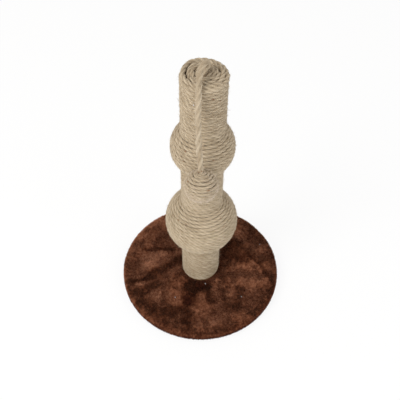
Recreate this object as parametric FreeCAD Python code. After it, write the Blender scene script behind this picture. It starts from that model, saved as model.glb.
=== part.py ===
import FreeCAD, Part
import os
from math import acos, asin, atan2, ceil, cos, degrees, hypot, pi, radians, sin, sqrt, tan

# A floor-standing cat scratching post. A round plush-covered base board carries a
# cardboard tube with two foam balls threaded on it. One rope is wound round the whole
# post from the base to the middle of the top. A toy ball hangs on a rope of its own,
# which leaves a hole in the middle of the top and bends over the rim.
# Millimetres, +Z up. The origin is on the floor, under the middle of the post.

os.makedirs("parts", exist_ok=True)
V = FreeCAD.Vector
UP = V(0, 0, 1)

# ---- Post ----
POST_HEIGHT = 488.0             # floor to the top of the coil on the post's end
TUBE_RADIUS = 29.0              # outside of the cardboard tube
TUBE_WALL = 5.2
LOWER_BALL_HEIGHT = 170.7       # floor to the ball's middle
LOWER_BALL_RADIUS = 57.25       # foam alone
UPPER_BALL_HEIGHT = 349.1
UPPER_BALL_RADIUS = 45.1        # foam alone
BOTTOM_PLUG_THICKNESS = 30.0
TOP_PLUG_THICKNESS = 25.0

# ---- Wound rope ----
ROPE = 5.4                      # diameter
TURN_PITCH = 6.0                # from one turn to the next along the surface
RIM_PITCH = 7.0                 # wider where the turns go over the post's sharp rim
RIM_ZONE = 14.0                 # length of surface that has the wider pitch
NECK_FILLET = 9.0               # path radius where a turn climbs from a neck to a ball
NECK_SHARE = 7.0                # length of neck that is wound with the ball next to it
RIM_ROUND = 3.0                 # path radius at the post's rim
COIL_INNER_RADIUS = 6.7         # middle of the innermost turn on the top

# ---- Base ----
BASE_RADIUS = 149.5             # outside of the plush
BOARD_THICKNESS = 15.0
BOARD_ROUND = 2.0
PLUSH_TOP = 4.0                 # plush on the board's top
PLUSH_SIDE = 4.8                # plush round the board's rim
PLUSH_PRESSED = 1.5             # plush squeezed under the post
PLUSH_TURNED = 1.5              # plush turned in under the board
PLUSH_ROUND_TOP = 7.0
PLUSH_ROUND_BOTTOM = 3.0
TURN_IN_WIDTH = 34.0            # how far the plush reaches in under the board
LINING_THICKNESS = 0.5
LINING_OVERLAP = 8.0            # lining over the turned-in plush
PAD_HEIGHT = 3.0
PAD_RADIUS = 12.0
PAD_INSET = 14.5                # pads' middles in from the turned-in plush
PAD_COUNT = 4

# ---- Fasteners ----
BOLT_RADIUS = 4.0
BOLT_LENGTH = 40.0              # under the head
BOLT_HEAD_FLATS = 13.0
BOLT_HEAD_HEIGHT = 5.3
WASHER_RADIUS = 12.0
WASHER_THICKNESS = 1.6
COUNTERBORE_DEPTH = 8.0
NUT_BARREL_RADIUS = 5.2
NUT_BARREL_LENGTH = 9.5
NUT_FLANGE_RADIUS = 11.0
NUT_FLANGE_THICKNESS = 1.5
NAIL_RADIUS = 0.9
NAIL_LENGTH = 16.0
NAIL_HEAD_RADIUS = 2.0
NAIL_HEAD_THICKNESS = 0.6
NAIL_COUNT = 6
BOTTOM_NAIL_DEPTH = 15.0        # from the tube's lower end
TOP_NAIL_DEPTH = 12.0           # from the tube's upper end
STAPLE_WIDTH = 10.0
STAPLE_WIRE = 0.8
STAPLE_LEG = 8.0
STAPLE_COUNT = 24
STAPLE_INSET = 15.0             # from the board's rim

# ---- Toy ----
TOY_ROPE = 7.0                  # diameter
TOY_DROP = 150.6                # rope's bend at the rim to the middle of the toy ball
TOY_BALL_RADIUS = 19.7          # core alone
TOY_WOUND_ROPE = 4.6            # diameter
TOY_TURN_PITCH = 5.1
TOY_KNOT_RADIUS = 6.8
TOY_KNOT_POCKET_DEPTH = 11.0
ANCHOR_KNOT_RADIUS = 7.5
BEND_AZIMUTH = 10.4             # degrees from the front, towards -X
TOY_AZIMUTH = 1.0               # degrees from the front, towards -X
BEND_TILT = 14.0                # degrees that the hanging rope leans outwards

# ---- Clearances ----
WINDING_GAP = 0.2               # wound rope to what it is wound on
SLIDE_GAP = 0.1                 # plug in the tube
THREAD_GAP = 0.05               # bolt in its nut
BOLT_HOLE_GAP = 0.5
CORE_GAP = 0.2                  # foam ball on the tube
CLOTH_GAP = 0.2                 # plush to the board's rim
SOFT_GAP = 0.3                  # the toy and its rope to the post
RIM_GAP = 1.4                   # the toy's rope to the rim, whose turns bulge a little
ROPE_HOLE_GAP = 0.4             # rope in a hole
LEAST_TURN_GAP = 0.4            # least gap between two turns of one rope

# The toy rope's free arch over the post's top: how far each point lies outwards,
# sideways and above the post's top. It leans back out of its hole, then comes forward.
LEAD_POINTS = [
    (0.15, -0.1, -14.0),
    (0.0, 0.0, 1.5),
    (-5.0, 3.6, 9.5),
    (-1.5, 3.2, 18.3),
    (7.8, -0.3, 18.9),
    (17.0, -2.5, 14.3),
    (26.5, -1.8, 8.6),
]
# The hanging rope's points between the rim and the ball: the share of the way down,
# and how far the rope bows sideways there.
DROP_BOWS = [(0.28, -1.5), (0.62, -1.9)]

# ---- Heights and radii that follow ----
lining_bottom = PAD_HEIGHT
turned_bottom = lining_bottom + LINING_THICKNESS
board_bottom = turned_bottom + PLUSH_TURNED
board_top = board_bottom + BOARD_THICKNESS
base_top = board_top + PLUSH_TOP
post_foot = board_top + PLUSH_PRESSED
board_radius = BASE_RADIUS - PLUSH_SIDE - CLOTH_GAP
turned_inner_radius = board_radius - TURN_IN_WIDTH
pad_circle_radius = turned_inner_radius - PAD_INSET

rope_radius = ROPE / 2
neck_path_radius = TUBE_RADIUS + WINDING_GAP + rope_radius
post_radius = neck_path_radius + rope_radius
coil_height = POST_HEIGHT - rope_radius
tube_top = POST_HEIGHT - ROPE - WINDING_GAP
plug_radius = TUBE_RADIUS - TUBE_WALL - SLIDE_GAP
bottom_plug_top = post_foot + BOTTOM_PLUG_THICKNESS
top_plug_bottom = tube_top - TOP_PLUG_THICKNESS
lower_path_radius = LOWER_BALL_RADIUS + WINDING_GAP + rope_radius
upper_path_radius = UPPER_BALL_RADIUS + WINDING_GAP + rope_radius

toy_rope_radius = TOY_ROPE / 2
toy_wound_radius = TOY_WOUND_ROPE / 2
toy_path_radius = TOY_BALL_RADIUS + WINDING_GAP + toy_wound_radius
toy_outer_radius = toy_path_radius + toy_wound_radius
rope_hole_radius = toy_rope_radius + ROPE_HOLE_GAP
rim_bend_radius = rope_radius + RIM_GAP + toy_rope_radius


# ---------------------------------------------------------------- small helpers
def vertical(radius, low, high, x=0.0, y=0.0):
    return Part.makeCylinder(radius, high - low, V(x, y, low))


def revolved(edges):
    """A solid of revolution about Z from the closed outline of edges in the XZ plane."""
    face = Part.Face(Part.Wire(edges))
    return face.revolve(V(0, 0, 0), UP, 360)


def rounded_disc(radius, low, high, rounding):
    """A disc whose two rims are rounded."""
    disc = vertical(radius, low, high)
    rims = [edge for edge in disc.Edges if edge.Closed]
    return disc.makeFillet(rounding, rims)


def line(start, end):
    return Part.LineSegment(start, end).toShape()


def round_pattern(count, first=0.0):
    """Angles in radians, evenly spaced round a circle."""
    return [radians(first) + 2 * pi * k / count for k in range(count)]


def save(name, shape):
    shape.exportStep("parts/" + name + ".step")
    print(name, "solids", len(shape.Solids), "volume", round(shape.Volume, 1), "valid", shape.isValid())


# ------------------------------------------------- tubes along straight runs and arcs
def arc_after(start, tangent, end):
    """The arc that leaves start along tangent and reaches end."""
    chord = end - start
    along = chord * (1 / chord.Length)
    half_turn = acos(max(-1.0, min(1.0, tangent.dot(along))))
    side = tangent - along * tangent.dot(along)
    side = side * (1 / side.Length)
    middle = (start + end) * 0.5 + side * (chord.Length / 2 * tan(half_turn / 2))
    return Part.Arc(start, middle, end)


def biarc(start, start_tangent, end, end_tangent):
    """Two arcs that share a tangent, from one point and direction to another."""
    chord = end - start
    both = start_tangent + end_tangent
    spread = 2 * (1 - start_tangent.dot(end_tangent))
    reach = chord.dot(both)
    if spread > 1e-9:
        handle = (sqrt(reach * reach + spread * chord.dot(chord)) - reach) / spread
    else:
        handle = chord.dot(chord) / (2 * reach)
    join = (start + end + (start_tangent - end_tangent) * handle) * 0.5
    first = arc_after(start, start_tangent, join)
    second_back = arc_after(end, end_tangent * -1, join)
    middle = second_back.value((second_back.FirstParameter + second_back.LastParameter) / 2)
    return [first.toShape(), Part.Arc(join, middle, end).toShape()]


def swept_tube(edges, radius):
    """A solid tube along the edges. Its volume is compared with section times length."""
    path = Part.Wire(edges)
    first = edges[0]
    start = first.valueAt(first.FirstParameter)
    tangent = first.tangentAt(first.FirstParameter)
    section = Part.Wire([Part.Circle(start, tangent, radius).toShape()])
    tube = path.makePipeShell([section], True, False)
    if tube.ShapeType != "Solid":
        tube = Part.Solid(tube)
    expected = pi * radius**2 * path.Length
    print("   tube length", round(path.Length, 2), "volume over section x length",
          round(tube.Volume / expected, 5))
    return tube


def rounded_route(points, radii=None):
    """Edges of a route of straight runs whose corners are tangent arcs.

    Each arc's radius is 0.45 of its shorter run over the tangent of half the turn,
    unless radii gives the size of the thing that the rope goes round there.
    """
    radii = radii or {}
    edges = []
    last = points[0]
    for k in range(1, len(points) - 1):
        before = points[k] - points[k - 1]
        after = points[k + 1] - points[k]
        turn = before.getAngle(after)
        radius = radii.get(k, 0.45 * min(before.Length, after.Length) / tan(turn / 2))
        reach = radius * tan(turn / 2)
        into = before * (1 / before.Length)
        out = after * (1 / after.Length)
        arc_start = points[k] - into * reach
        arc_end = points[k] + out * reach
        print("   corner", k, "turn", round(degrees(turn), 1), "radius", round(radius, 1))
        if (arc_start - last).Length > 1e-6:
            edges.append(line(last, arc_start))
        edges.append(arc_after(arc_start, into, arc_end).toShape())
        last = arc_end
    if (points[-1] - last).Length > 1e-6:
        edges.append(line(last, points[-1]))
    return edges


# ------------------------------------------------------------- windings on a surface
class Meridian:
    """The line that a winding climbs, as straight and round pieces in the (r, z) plane."""

    def __init__(self):
        self.pieces = []
        self.length = 0.0

    def straight(self, start, end):
        size = hypot(end[0] - start[0], end[1] - start[1])
        self.pieces.append(("straight", self.length, size, start, end))
        self.length += size

    def round(self, centre, radius, first, last):
        size = radius * abs(last - first)
        self.pieces.append(("round", self.length, size, centre, radius, first, last))
        self.length += size

    def at(self, distance):
        """Point and unit direction at a distance along the line."""
        piece = self.pieces[0]
        for candidate in self.pieces:
            if distance >= candidate[1] - 1e-9:
                piece = candidate
        share = (distance - piece[1]) / piece[2]
        if piece[0] == "straight":
            start, end = piece[3], piece[4]
            step = (end[0] - start[0], end[1] - start[1])
            point = (start[0] + step[0] * share, start[1] + step[1] * share)
            return point, (step[0] / piece[2], step[1] / piece[2])
        centre, radius, first, last = piece[3:]
        angle = first + (last - first) * share
        sense = 1 if last > first else -1
        point = (centre[0] + radius * cos(angle), centre[1] + radius * sin(angle))
        return point, (-sin(angle) * sense, cos(angle) * sense)


class Winding:
    """One rope wound along a meridian, at a pitch that may change in one zone."""

    def __init__(self, meridian, pitch, first_angle, zone=None, zone_pitch=None):
        self.meridian = meridian
        self.first_angle = first_angle
        ends = [0.0, meridian.length]
        if zone:
            ends = [0.0, zone[0], zone[1], meridian.length]
        self.spans = []
        angle = first_angle
        for low, high in zip(ends, ends[1:]):
            span_pitch = zone_pitch if zone and low == zone[0] else pitch
            self.spans.append((low, high, span_pitch, angle))
            angle += 2 * pi * (high - low) / span_pitch

    def angle_at(self, distance):
        for low, high, pitch, angle in self.spans:
            if distance <= high + 1e-9:
                return angle + 2 * pi * (distance - low) / pitch
        return None

    def distance_at(self, wanted):
        low, high, pitch, angle = self.spans[0]
        for span in self.spans:
            if wanted >= span[3] - 1e-9:
                low, high, pitch, angle = span
        return low + (wanted - angle) * pitch / (2 * pi), pitch

    def frame(self, angle):
        """Point and unit tangent of the rope's middle line at an angle."""
        distance, pitch = self.distance_at(angle)
        (radius, height), (out, rise) = self.meridian.at(distance)
        climb = pitch / (2 * pi)
        point = V(radius * cos(angle), radius * sin(angle), height)
        tangent = V(
            out * climb * cos(angle) - radius * sin(angle),
            out * climb * sin(angle) + radius * cos(angle),
            rise * climb,
        )
        tangent.normalize()
        return point, tangent

    def edges(self, low, high, straight_start=0.0, straight_end=0.0):
        """The rope's line between two distances, by biarcs of up to a quarter turn."""
        first, last = self.angle_at(low), self.angle_at(high)
        count = ceil((last - first) / (pi / 2))
        frames = [self.frame(first + (last - first) * k / count) for k in range(count + 1)]
        print("   turns", round((last - first) / (2 * pi), 2))
        lead_in = []
        lead_out = []
        if straight_start:
            point, tangent = frames[0]
            frames[0] = (point + tangent * straight_start, tangent)
            lead_in = [line(point, frames[0][0])]
        if straight_end:
            point, tangent = frames[-1]
            frames[-1] = (point - tangent * straight_end, tangent)
            lead_out = [line(frames[-1][0], point)]
        arcs = []
        for (start, start_tangent), (end, end_tangent) in zip(frames, frames[1:]):
            arcs += biarc(start, start_tangent, end, end_tangent)
        return lead_in + arcs + lead_out


def least_gap(name, edges, diameter):
    """Least gap between two turns of one rope, measured on points along its line."""
    samples = 6
    points = []
    for edge in edges:
        span = edge.LastParameter - edge.FirstParameter
        points += [edge.valueAt(edge.FirstParameter + span * k / samples) for k in range(samples)]
    coordinates = [(p.x, p.y, p.z) for p in points]
    lengths = [0.0]
    for a, b in zip(coordinates, coordinates[1:]):
        lengths.append(lengths[-1] + sqrt(sum((u - v) ** 2 for u, v in zip(a, b))))
    per_turn = 4 * 2 * samples
    least = None
    for i, a in enumerate(coordinates):
        for j in range(i + per_turn // 2, min(i + per_turn * 3 // 2 + 1, len(coordinates))):
            b = coordinates[j]
            if lengths[j] - lengths[i] < 2 * pi * diameter / 2:
                continue
            apart = (a[0] - b[0]) ** 2 + (a[1] - b[1]) ** 2 + (a[2] - b[2]) ** 2
            if least is None or apart < least:
                least = apart
    gap = sqrt(least) - diameter
    print(name, "least gap between turns", round(gap, 3), "wanted over", LEAST_TURN_GAP)


# --------------------------------------------------------------------- the base
def make_board():
    board = rounded_disc(board_radius, board_bottom, board_top, BOARD_ROUND)
    hole = vertical(BOLT_RADIUS + BOLT_HOLE_GAP, board_bottom, board_top)
    pocket = vertical(
        WASHER_RADIUS + BOLT_HOLE_GAP, board_bottom, board_bottom + COUNTERBORE_DEPTH
    )
    return board.cut(hole.fuse(pocket))


def plush_outline():
    """Half section of the base's outer shape."""
    low, high = turned_bottom, base_top
    bottom_round, top_round = PLUSH_ROUND_BOTTOM, PLUSH_ROUND_TOP
    side = BASE_RADIUS
    corner = sqrt(0.5)
    bottom_middle = V(side - bottom_round * (1 - corner), 0, low + bottom_round * (1 - corner))
    top_middle = V(side - top_round * (1 - corner), 0, high - top_round * (1 - corner))
    return [
        line(V(0, 0, low), V(side - bottom_round, 0, low)),
        Part.Arc(V(side - bottom_round, 0, low), bottom_middle, V(side, 0, low + bottom_round)).toShape(),
        line(V(side, 0, low + bottom_round), V(side, 0, high - top_round)),
        Part.Arc(V(side, 0, high - top_round), top_middle, V(side - top_round, 0, high)).toShape(),
        line(V(side - top_round, 0, high), V(0, 0, high)),
        line(V(0, 0, high), V(0, 0, low)),
    ]


def make_plush_cover():
    cover = revolved(plush_outline())
    room = rounded_disc(board_radius + CLOTH_GAP, board_bottom, board_top, BOARD_ROUND)
    under_opening = vertical(turned_inner_radius, turned_bottom, board_bottom)
    post_seat = vertical(post_radius + SOFT_GAP, post_foot, base_top)
    bolt_hole = vertical(BOLT_RADIUS + BOLT_HOLE_GAP, board_top, post_foot)
    return cover.cut(room.fuse(under_opening)).cut(post_seat.fuse(bolt_hole))


def make_lining():
    return vertical(turned_inner_radius + LINING_OVERLAP, lining_bottom, turned_bottom)


def make_pads():
    pads = [
        vertical(PAD_RADIUS, 0, PAD_HEIGHT, pad_circle_radius * cos(a), pad_circle_radius * sin(a))
        for a in round_pattern(PAD_COUNT, 45)
    ]
    return Part.makeCompound(pads)


def make_staples():
    """Wire staples through the turned-in plush into the board, crowns below."""
    staple_radius = board_radius - STAPLE_INSET
    staples = []
    for angle in round_pattern(STAPLE_COUNT, 7.5):
        crown = Part.makeBox(
            STAPLE_WIRE, STAPLE_WIDTH, STAPLE_WIRE / 2,
            V(staple_radius - STAPLE_WIRE / 2, -STAPLE_WIDTH / 2, turned_bottom - STAPLE_WIRE / 2),
        )
        staple = crown
        for y in (-STAPLE_WIDTH / 2, STAPLE_WIDTH / 2 - STAPLE_WIRE):
            leg = Part.makeBox(
                STAPLE_WIRE, STAPLE_WIRE, STAPLE_LEG,
                V(staple_radius - STAPLE_WIRE / 2, y, turned_bottom),
            )
            staple = staple.fuse(leg)
        staple = staple.removeSplitter()
        staple.rotate(V(0, 0, 0), UP, degrees(angle))
        staples.append(staple.Solids[0])
    return Part.makeCompound(staples)


# --------------------------------------------------------------------- the post
def make_nails(height):
    """Nails driven through the tube into a plug, their heads just under the tube's skin."""
    flat_radius = sqrt(TUBE_RADIUS**2 - NAIL_HEAD_RADIUS**2)
    nails = []
    for angle in round_pattern(NAIL_COUNT):
        shank = Part.makeCylinder(
            NAIL_RADIUS, NAIL_LENGTH, V(flat_radius - NAIL_LENGTH, 0, height), V(1, 0, 0)
        )
        head = Part.makeCylinder(
            NAIL_HEAD_RADIUS, NAIL_HEAD_THICKNESS,
            V(flat_radius - NAIL_HEAD_THICKNESS, 0, height), V(1, 0, 0),
        )
        nail = shank.fuse(head).removeSplitter()
        nail.rotate(V(0, 0, 0), UP, degrees(angle))
        nails.append(nail.Solids[0])
    return nails


def make_tube(nails):
    tube = vertical(TUBE_RADIUS, post_foot, tube_top).cut(
        vertical(TUBE_RADIUS - TUBE_WALL, post_foot, tube_top)
    )
    for nail in nails:
        tube = tube.cut(nail)
    return tube


def make_bottom_plug(nails):
    plug = vertical(plug_radius, post_foot, bottom_plug_top)
    bolt_hole = vertical(BOLT_RADIUS + BOLT_HOLE_GAP, post_foot, bottom_plug_top)
    barrel_hole = vertical(NUT_BARREL_RADIUS, bottom_plug_top - NUT_BARREL_LENGTH, bottom_plug_top)
    plug = plug.cut(bolt_hole.fuse(barrel_hole))
    for nail in nails:
        plug = plug.cut(nail)
    return plug


def make_top_plug(nails):
    plug = vertical(plug_radius, top_plug_bottom, tube_top)
    plug = plug.cut(vertical(rope_hole_radius, top_plug_bottom, tube_top))
    for nail in nails:
        plug = plug.cut(nail)
    return plug


def make_tee_nut():
    flange = vertical(NUT_FLANGE_RADIUS, bottom_plug_top, bottom_plug_top + NUT_FLANGE_THICKNESS)
    barrel = vertical(NUT_BARREL_RADIUS, bottom_plug_top - NUT_BARREL_LENGTH, bottom_plug_top)
    thread = vertical(
        BOLT_RADIUS + THREAD_GAP,
        bottom_plug_top - NUT_BARREL_LENGTH,
        bottom_plug_top + NUT_FLANGE_THICKNESS,
    )
    return flange.fuse(barrel).cut(thread).removeSplitter()


def make_washer():
    top = board_bottom + COUNTERBORE_DEPTH
    ring = vertical(WASHER_RADIUS, top - WASHER_THICKNESS, top)
    return ring.cut(vertical(BOLT_RADIUS + BOLT_HOLE_GAP, top - WASHER_THICKNESS, top))


def make_bolt():
    under_head = board_bottom + COUNTERBORE_DEPTH - WASHER_THICKNESS
    shank = vertical(BOLT_RADIUS, under_head, under_head + BOLT_LENGTH)
    corner = BOLT_HEAD_FLATS / sqrt(3)
    corners = [
        V(corner * cos(a), corner * sin(a), under_head - BOLT_HEAD_HEIGHT) for a in round_pattern(6)
    ]
    hexagon = Part.Face(Part.makePolygon(corners + corners[:1]))
    return hexagon.extrude(V(0, 0, BOLT_HEAD_HEIGHT)).fuse(shank).removeSplitter()


def make_ball_core(radius, height):
    ball = Part.makeSphere(radius, V(0, 0, height))
    bore = vertical(TUBE_RADIUS + CORE_GAP, height - radius, height + radius)
    return ball.cut(bore)


# ------------------------------------------------------ the rope wound on the post
def add_ball(meridian, path_radius, height, from_height):
    """A neck up to a ball, and the ball with its fillets. Returns their distances."""
    corner_radius = neck_path_radius + NECK_FILLET
    rise = sqrt((path_radius + NECK_FILLET) ** 2 - corner_radius**2)
    turn = atan2(rise, corner_radius)
    meridian.straight((neck_path_radius, from_height), (neck_path_radius, height - rise))
    low = meridian.length - NECK_SHARE
    meridian.round((corner_radius, height - rise), NECK_FILLET, pi, pi - turn)
    meridian.round((0.0, height), path_radius, -turn, turn)
    meridian.round((corner_radius, height + rise), NECK_FILLET, pi + turn, pi)
    return low, meridian.length + NECK_SHARE, height + rise


def make_post_windings():
    line_up = Meridian()
    start_height = post_foot + WINDING_GAP + rope_radius
    lower_low, lower_high, neck_height = add_ball(
        line_up, lower_path_radius, LOWER_BALL_HEIGHT, start_height
    )
    upper_low, upper_high, neck_height = add_ball(
        line_up, upper_path_radius, UPPER_BALL_HEIGHT, neck_height
    )
    rim_radius = neck_path_radius - RIM_ROUND
    line_up.straight(
        (neck_path_radius, neck_height), (neck_path_radius, coil_height - RIM_ROUND)
    )
    rim = line_up.length
    line_up.round((rim_radius, coil_height - RIM_ROUND), RIM_ROUND, 0.0, pi / 2)
    rim_middle = (rim + line_up.length) / 2
    line_up.straight((rim_radius, coil_height), (COIL_INNER_RADIUS, coil_height))
    winding = Winding(
        line_up, TURN_PITCH, pi / 2,
        (rim_middle - RIM_ZONE / 2, rim_middle + RIM_ZONE / 2), RIM_PITCH,
    )
    stretches = [
        ("lower_neck_winding", 0.0, lower_low),
        ("lower_ball_winding", lower_low, lower_high),
        ("middle_neck_winding", lower_high, upper_low),
        ("upper_ball_winding", upper_low, upper_high),
        ("upper_neck_winding", upper_high, rim),
        ("top_coil", rim, line_up.length),
    ]
    whole = []
    solids = {}
    for name, low, high in stretches:
        last_one = name == "top_coil"
        edges = winding.edges(low, high, ROPE, 0.0 if last_one else ROPE)
        least_gap(name, edges, ROPE)
        solids[name] = swept_tube(edges, rope_radius)
        whole += edges
    least_gap("whole post rope", whole, ROPE)
    print("post rope length", round(sum(edge.Length for edge in whole) / 1000, 2), "m")
    return solids


# ------------------------------------------------------------------------ the toy
def outward(azimuth):
    """Unit vector outwards from the post, at degrees from the front towards -X."""
    return V(-sin(radians(azimuth)), -cos(radians(azimuth)), 0)


def rim_point(angle_from_up):
    """A point of the toy rope's line where it lies on the rim's outermost turn."""
    out = outward(BEND_AZIMUTH)
    return (
        out * (neck_path_radius + rim_bend_radius * sin(radians(angle_from_up)))
        + UP * (coil_height + rim_bend_radius * cos(radians(angle_from_up)))
    )


bend_point = rim_point(90.0 - BEND_TILT)


def find_toy_centre():
    """Where the toy ball hangs: a rope's length from the bend, against the upper ball."""
    out = outward(TOY_AZIMUTH)
    reach = upper_path_radius + rope_radius + SOFT_GAP + toy_outer_radius
    bend_out = bend_point.dot(out)
    bend_aside = (bend_point - UP * bend_point.z - out * bend_out).Length
    rope_reach = sqrt(TOY_DROP**2 - bend_aside**2)
    across = bend_out
    down = UPPER_BALL_HEIGHT - bend_point.z
    apart = hypot(across, down)
    along = (rope_reach**2 - reach**2 + apart**2) / (2 * apart)
    aside = sqrt(rope_reach**2 - along**2)
    from_bend_out = (-across * along - down * aside) / apart
    from_bend_up = (down * along - across * aside) / apart
    return out * (bend_out + from_bend_out) + UP * (bend_point.z + from_bend_up)


toy_centre = find_toy_centre()


def lead_route():
    """The toy rope from its knot inside the post, up and over to the rim."""
    out = outward(BEND_AZIMUTH)
    side = UP.cross(out)
    arch = [out * a + side * b + UP * (POST_HEIGHT + c) for a, b, c in LEAD_POINTS]
    over = arch[-1] - rim_point(0.0) + UP * rim_bend_radius
    touch = degrees(atan2(over.dot(out), over.z) + acos(rim_bend_radius / over.Length))
    rope_end = 2 * degrees(asin((toy_rope_radius + 1.6 * SOFT_GAP) / 2 / rim_bend_radius))
    leave = 90.0 - BEND_TILT - rope_end
    middle = (touch + leave) / 2
    reach = rim_bend_radius / cos(radians((leave - touch) / 2))
    corner = rim_point(0.0) - UP * rim_bend_radius + out * (reach * sin(radians(middle)))
    corner += UP * (reach * cos(radians(middle)))
    start = V(0, 0, top_plug_bottom - SOFT_GAP)
    return [start] + arch + [corner, rim_point(leave)]


def drop_route():
    """The toy rope from the rim's bend down to its knot under the toy ball."""
    axis = toy_centre - bend_point
    axis.normalize()
    to_side = axis.cross(outward(TOY_AZIMUTH))
    to_side.normalize()
    if to_side.x < 0:
        to_side = to_side * -1
    ball_top = toy_centre - axis * (toy_path_radius + toy_rope_radius)
    hang = ball_top - bend_point
    middle = [bend_point + hang * share + to_side * bow for share, bow in DROP_BOWS]
    return [bend_point] + middle + [ball_top, toy_centre + axis * knot_seat()]


def knot_seat():
    """From the toy ball's middle to the knot's flat top, in its pocket."""
    return TOY_BALL_RADIUS - TOY_KNOT_POCKET_DEPTH + SOFT_GAP


def make_knot(radius, top, direction):
    """A rounded knot, cut flat where its rope enters. It lies past top, along direction."""
    inset = sqrt(radius**2 - toy_rope_radius**2)
    ball = Part.makeSphere(radius, top + direction * inset)
    cutter = Part.makeCylinder(2 * radius, 2 * radius, top, direction * -1)
    return ball.cut(cutter)


def toy_axis():
    points = drop_route()
    axis = points[-1] - points[-2]
    axis.normalize()
    return axis


def make_toy_core():
    axis = toy_axis()
    core = Part.makeSphere(TOY_BALL_RADIUS, toy_centre)
    bore = Part.makeCylinder(
        rope_hole_radius, 2 * TOY_BALL_RADIUS, toy_centre - axis * TOY_BALL_RADIUS, axis
    )
    pocket = Part.makeCylinder(
        TOY_KNOT_RADIUS + ROPE_HOLE_GAP, TOY_BALL_RADIUS,
        toy_centre + axis * (TOY_BALL_RADIUS - TOY_KNOT_POCKET_DEPTH), axis,
    )
    return core.cut(bore.fuse(pocket))


def make_toy_winding():
    top_radius = rope_hole_radius + toy_wound_radius + WINDING_GAP
    bottom_radius = TOY_KNOT_RADIUS + ROPE_HOLE_GAP + toy_wound_radius + WINDING_GAP
    first = pi / 2 - asin(top_radius / toy_path_radius)
    last = -pi / 2 + asin(bottom_radius / toy_path_radius)
    down = Meridian()
    down.round((0.0, 0.0), toy_path_radius, first, last)
    winding = Winding(down, TOY_TURN_PITCH, 0.0)
    edges = winding.edges(0.0, down.length)
    least_gap("toy_ball_winding", edges, TOY_WOUND_ROPE)
    tube = swept_tube(edges, toy_wound_radius)
    tube.Placement = FreeCAD.Placement(toy_centre, FreeCAD.Rotation(UP * -1, toy_axis()))
    return tube


def make_lead():
    route = lead_route()
    edges = rounded_route(route, {len(route) - 2: rim_bend_radius})
    return swept_tube(edges, toy_rope_radius)


def make_drop():
    """The hanging rope. Its upper end is a ball round the bend, so that it can swing."""
    tube = swept_tube(rounded_route(drop_route()), toy_rope_radius)
    return tube.fuse(Part.makeSphere(toy_rope_radius, bend_point)).removeSplitter()


# --------------------------------------------------------------------- the whole
bottom_nails = make_nails(post_foot + BOTTOM_NAIL_DEPTH)
top_nails = make_nails(tube_top - TOP_NAIL_DEPTH)
staples = make_staples()

save("base_board", make_board().cut(staples))
save("plush_cover", make_plush_cover().cut(staples))
save("cover_staples", staples)
save("underside_lining", make_lining())
save("anti_slip_pads", make_pads())
save("post_bolt", make_bolt())
save("bolt_washer", make_washer())
save("tee_nut", make_tee_nut())
save("bottom_plug", make_bottom_plug(bottom_nails))
save("bottom_plug_nails", Part.makeCompound(bottom_nails))
save("core_tube", make_tube(bottom_nails + top_nails))
save("top_plug", make_top_plug(top_nails))
save("top_plug_nails", Part.makeCompound(top_nails))
save("lower_ball_core", make_ball_core(LOWER_BALL_RADIUS, LOWER_BALL_HEIGHT))
save("upper_ball_core", make_ball_core(UPPER_BALL_RADIUS, UPPER_BALL_HEIGHT))
for winding_name, winding_solid in make_post_windings().items():
    save(winding_name, winding_solid)

anchor_top = V(0, 0, top_plug_bottom - SOFT_GAP)
save("toy_anchor_knot", make_knot(ANCHOR_KNOT_RADIUS, anchor_top, UP * -1))
save("toy_rope_lead", make_lead())
save("toy_rope_drop", make_drop())
save("toy_ball_core", make_toy_core())
save("toy_ball_winding", make_toy_winding())
save("toy_ball_knot", make_knot(TOY_KNOT_RADIUS, drop_route()[-1], toy_axis()))

for label, point in (("bend", bend_point), ("toy centre", toy_centre), ("toy axis", toy_axis())):
    print(label, [round(c, 3) for c in point])
print("lead route", [[round(c, 2) for c in p] for p in lead_route()])
print("drop route", [[round(c, 2) for c in p] for p in drop_route()])
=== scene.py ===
from math import asin, atan2, ceil, cos, hypot, pi, radians, sin, sqrt

import bpy
import numpy as np
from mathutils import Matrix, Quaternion, Vector


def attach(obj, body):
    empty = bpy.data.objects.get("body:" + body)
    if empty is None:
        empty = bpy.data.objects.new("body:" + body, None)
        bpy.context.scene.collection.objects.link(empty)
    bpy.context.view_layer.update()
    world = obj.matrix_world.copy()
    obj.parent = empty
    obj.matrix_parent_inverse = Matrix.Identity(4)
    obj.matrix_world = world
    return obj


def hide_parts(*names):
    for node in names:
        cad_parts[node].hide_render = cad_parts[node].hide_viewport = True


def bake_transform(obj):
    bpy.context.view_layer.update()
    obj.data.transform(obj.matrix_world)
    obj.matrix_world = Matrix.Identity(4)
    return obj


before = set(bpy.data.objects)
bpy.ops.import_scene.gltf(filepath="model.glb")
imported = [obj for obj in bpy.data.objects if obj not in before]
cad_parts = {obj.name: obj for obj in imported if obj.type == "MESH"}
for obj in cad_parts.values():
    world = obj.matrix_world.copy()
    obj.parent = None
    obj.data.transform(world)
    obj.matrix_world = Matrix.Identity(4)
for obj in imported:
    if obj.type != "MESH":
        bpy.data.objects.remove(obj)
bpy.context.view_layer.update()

# A cat scratching post: one long sisal rope wound round a post with two ball-shaped
# swellings, a round plush-covered base, and a small toy ball on a rope of its own.
# Lengths in the values below are in millimetres, as in the part. Meshes are in metres.
MM = 0.001

# ---- The rope's line up the post, as in the part ----
NECK_PATH_RADIUS = 31.9
NECK_FILLET = 9.0
NECK_SHARE = 7.0
FIRST_TURN_HEIGHT = 24.4
LOWER_BALL = (170.7, 60.15)     # height of its middle, radius of the rope's line
UPPER_BALL = (349.1, 48.0)
COIL_HEIGHT = 485.3
COIL_INNER_RADIUS = 6.7
RIM_ROUND = 3.0
RIM_ZONE = 14.0
TURN_PITCH = 6.0
RIM_PITCH = 7.0
FINE_STEP = 0.1                 # between the points of an outline

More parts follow.
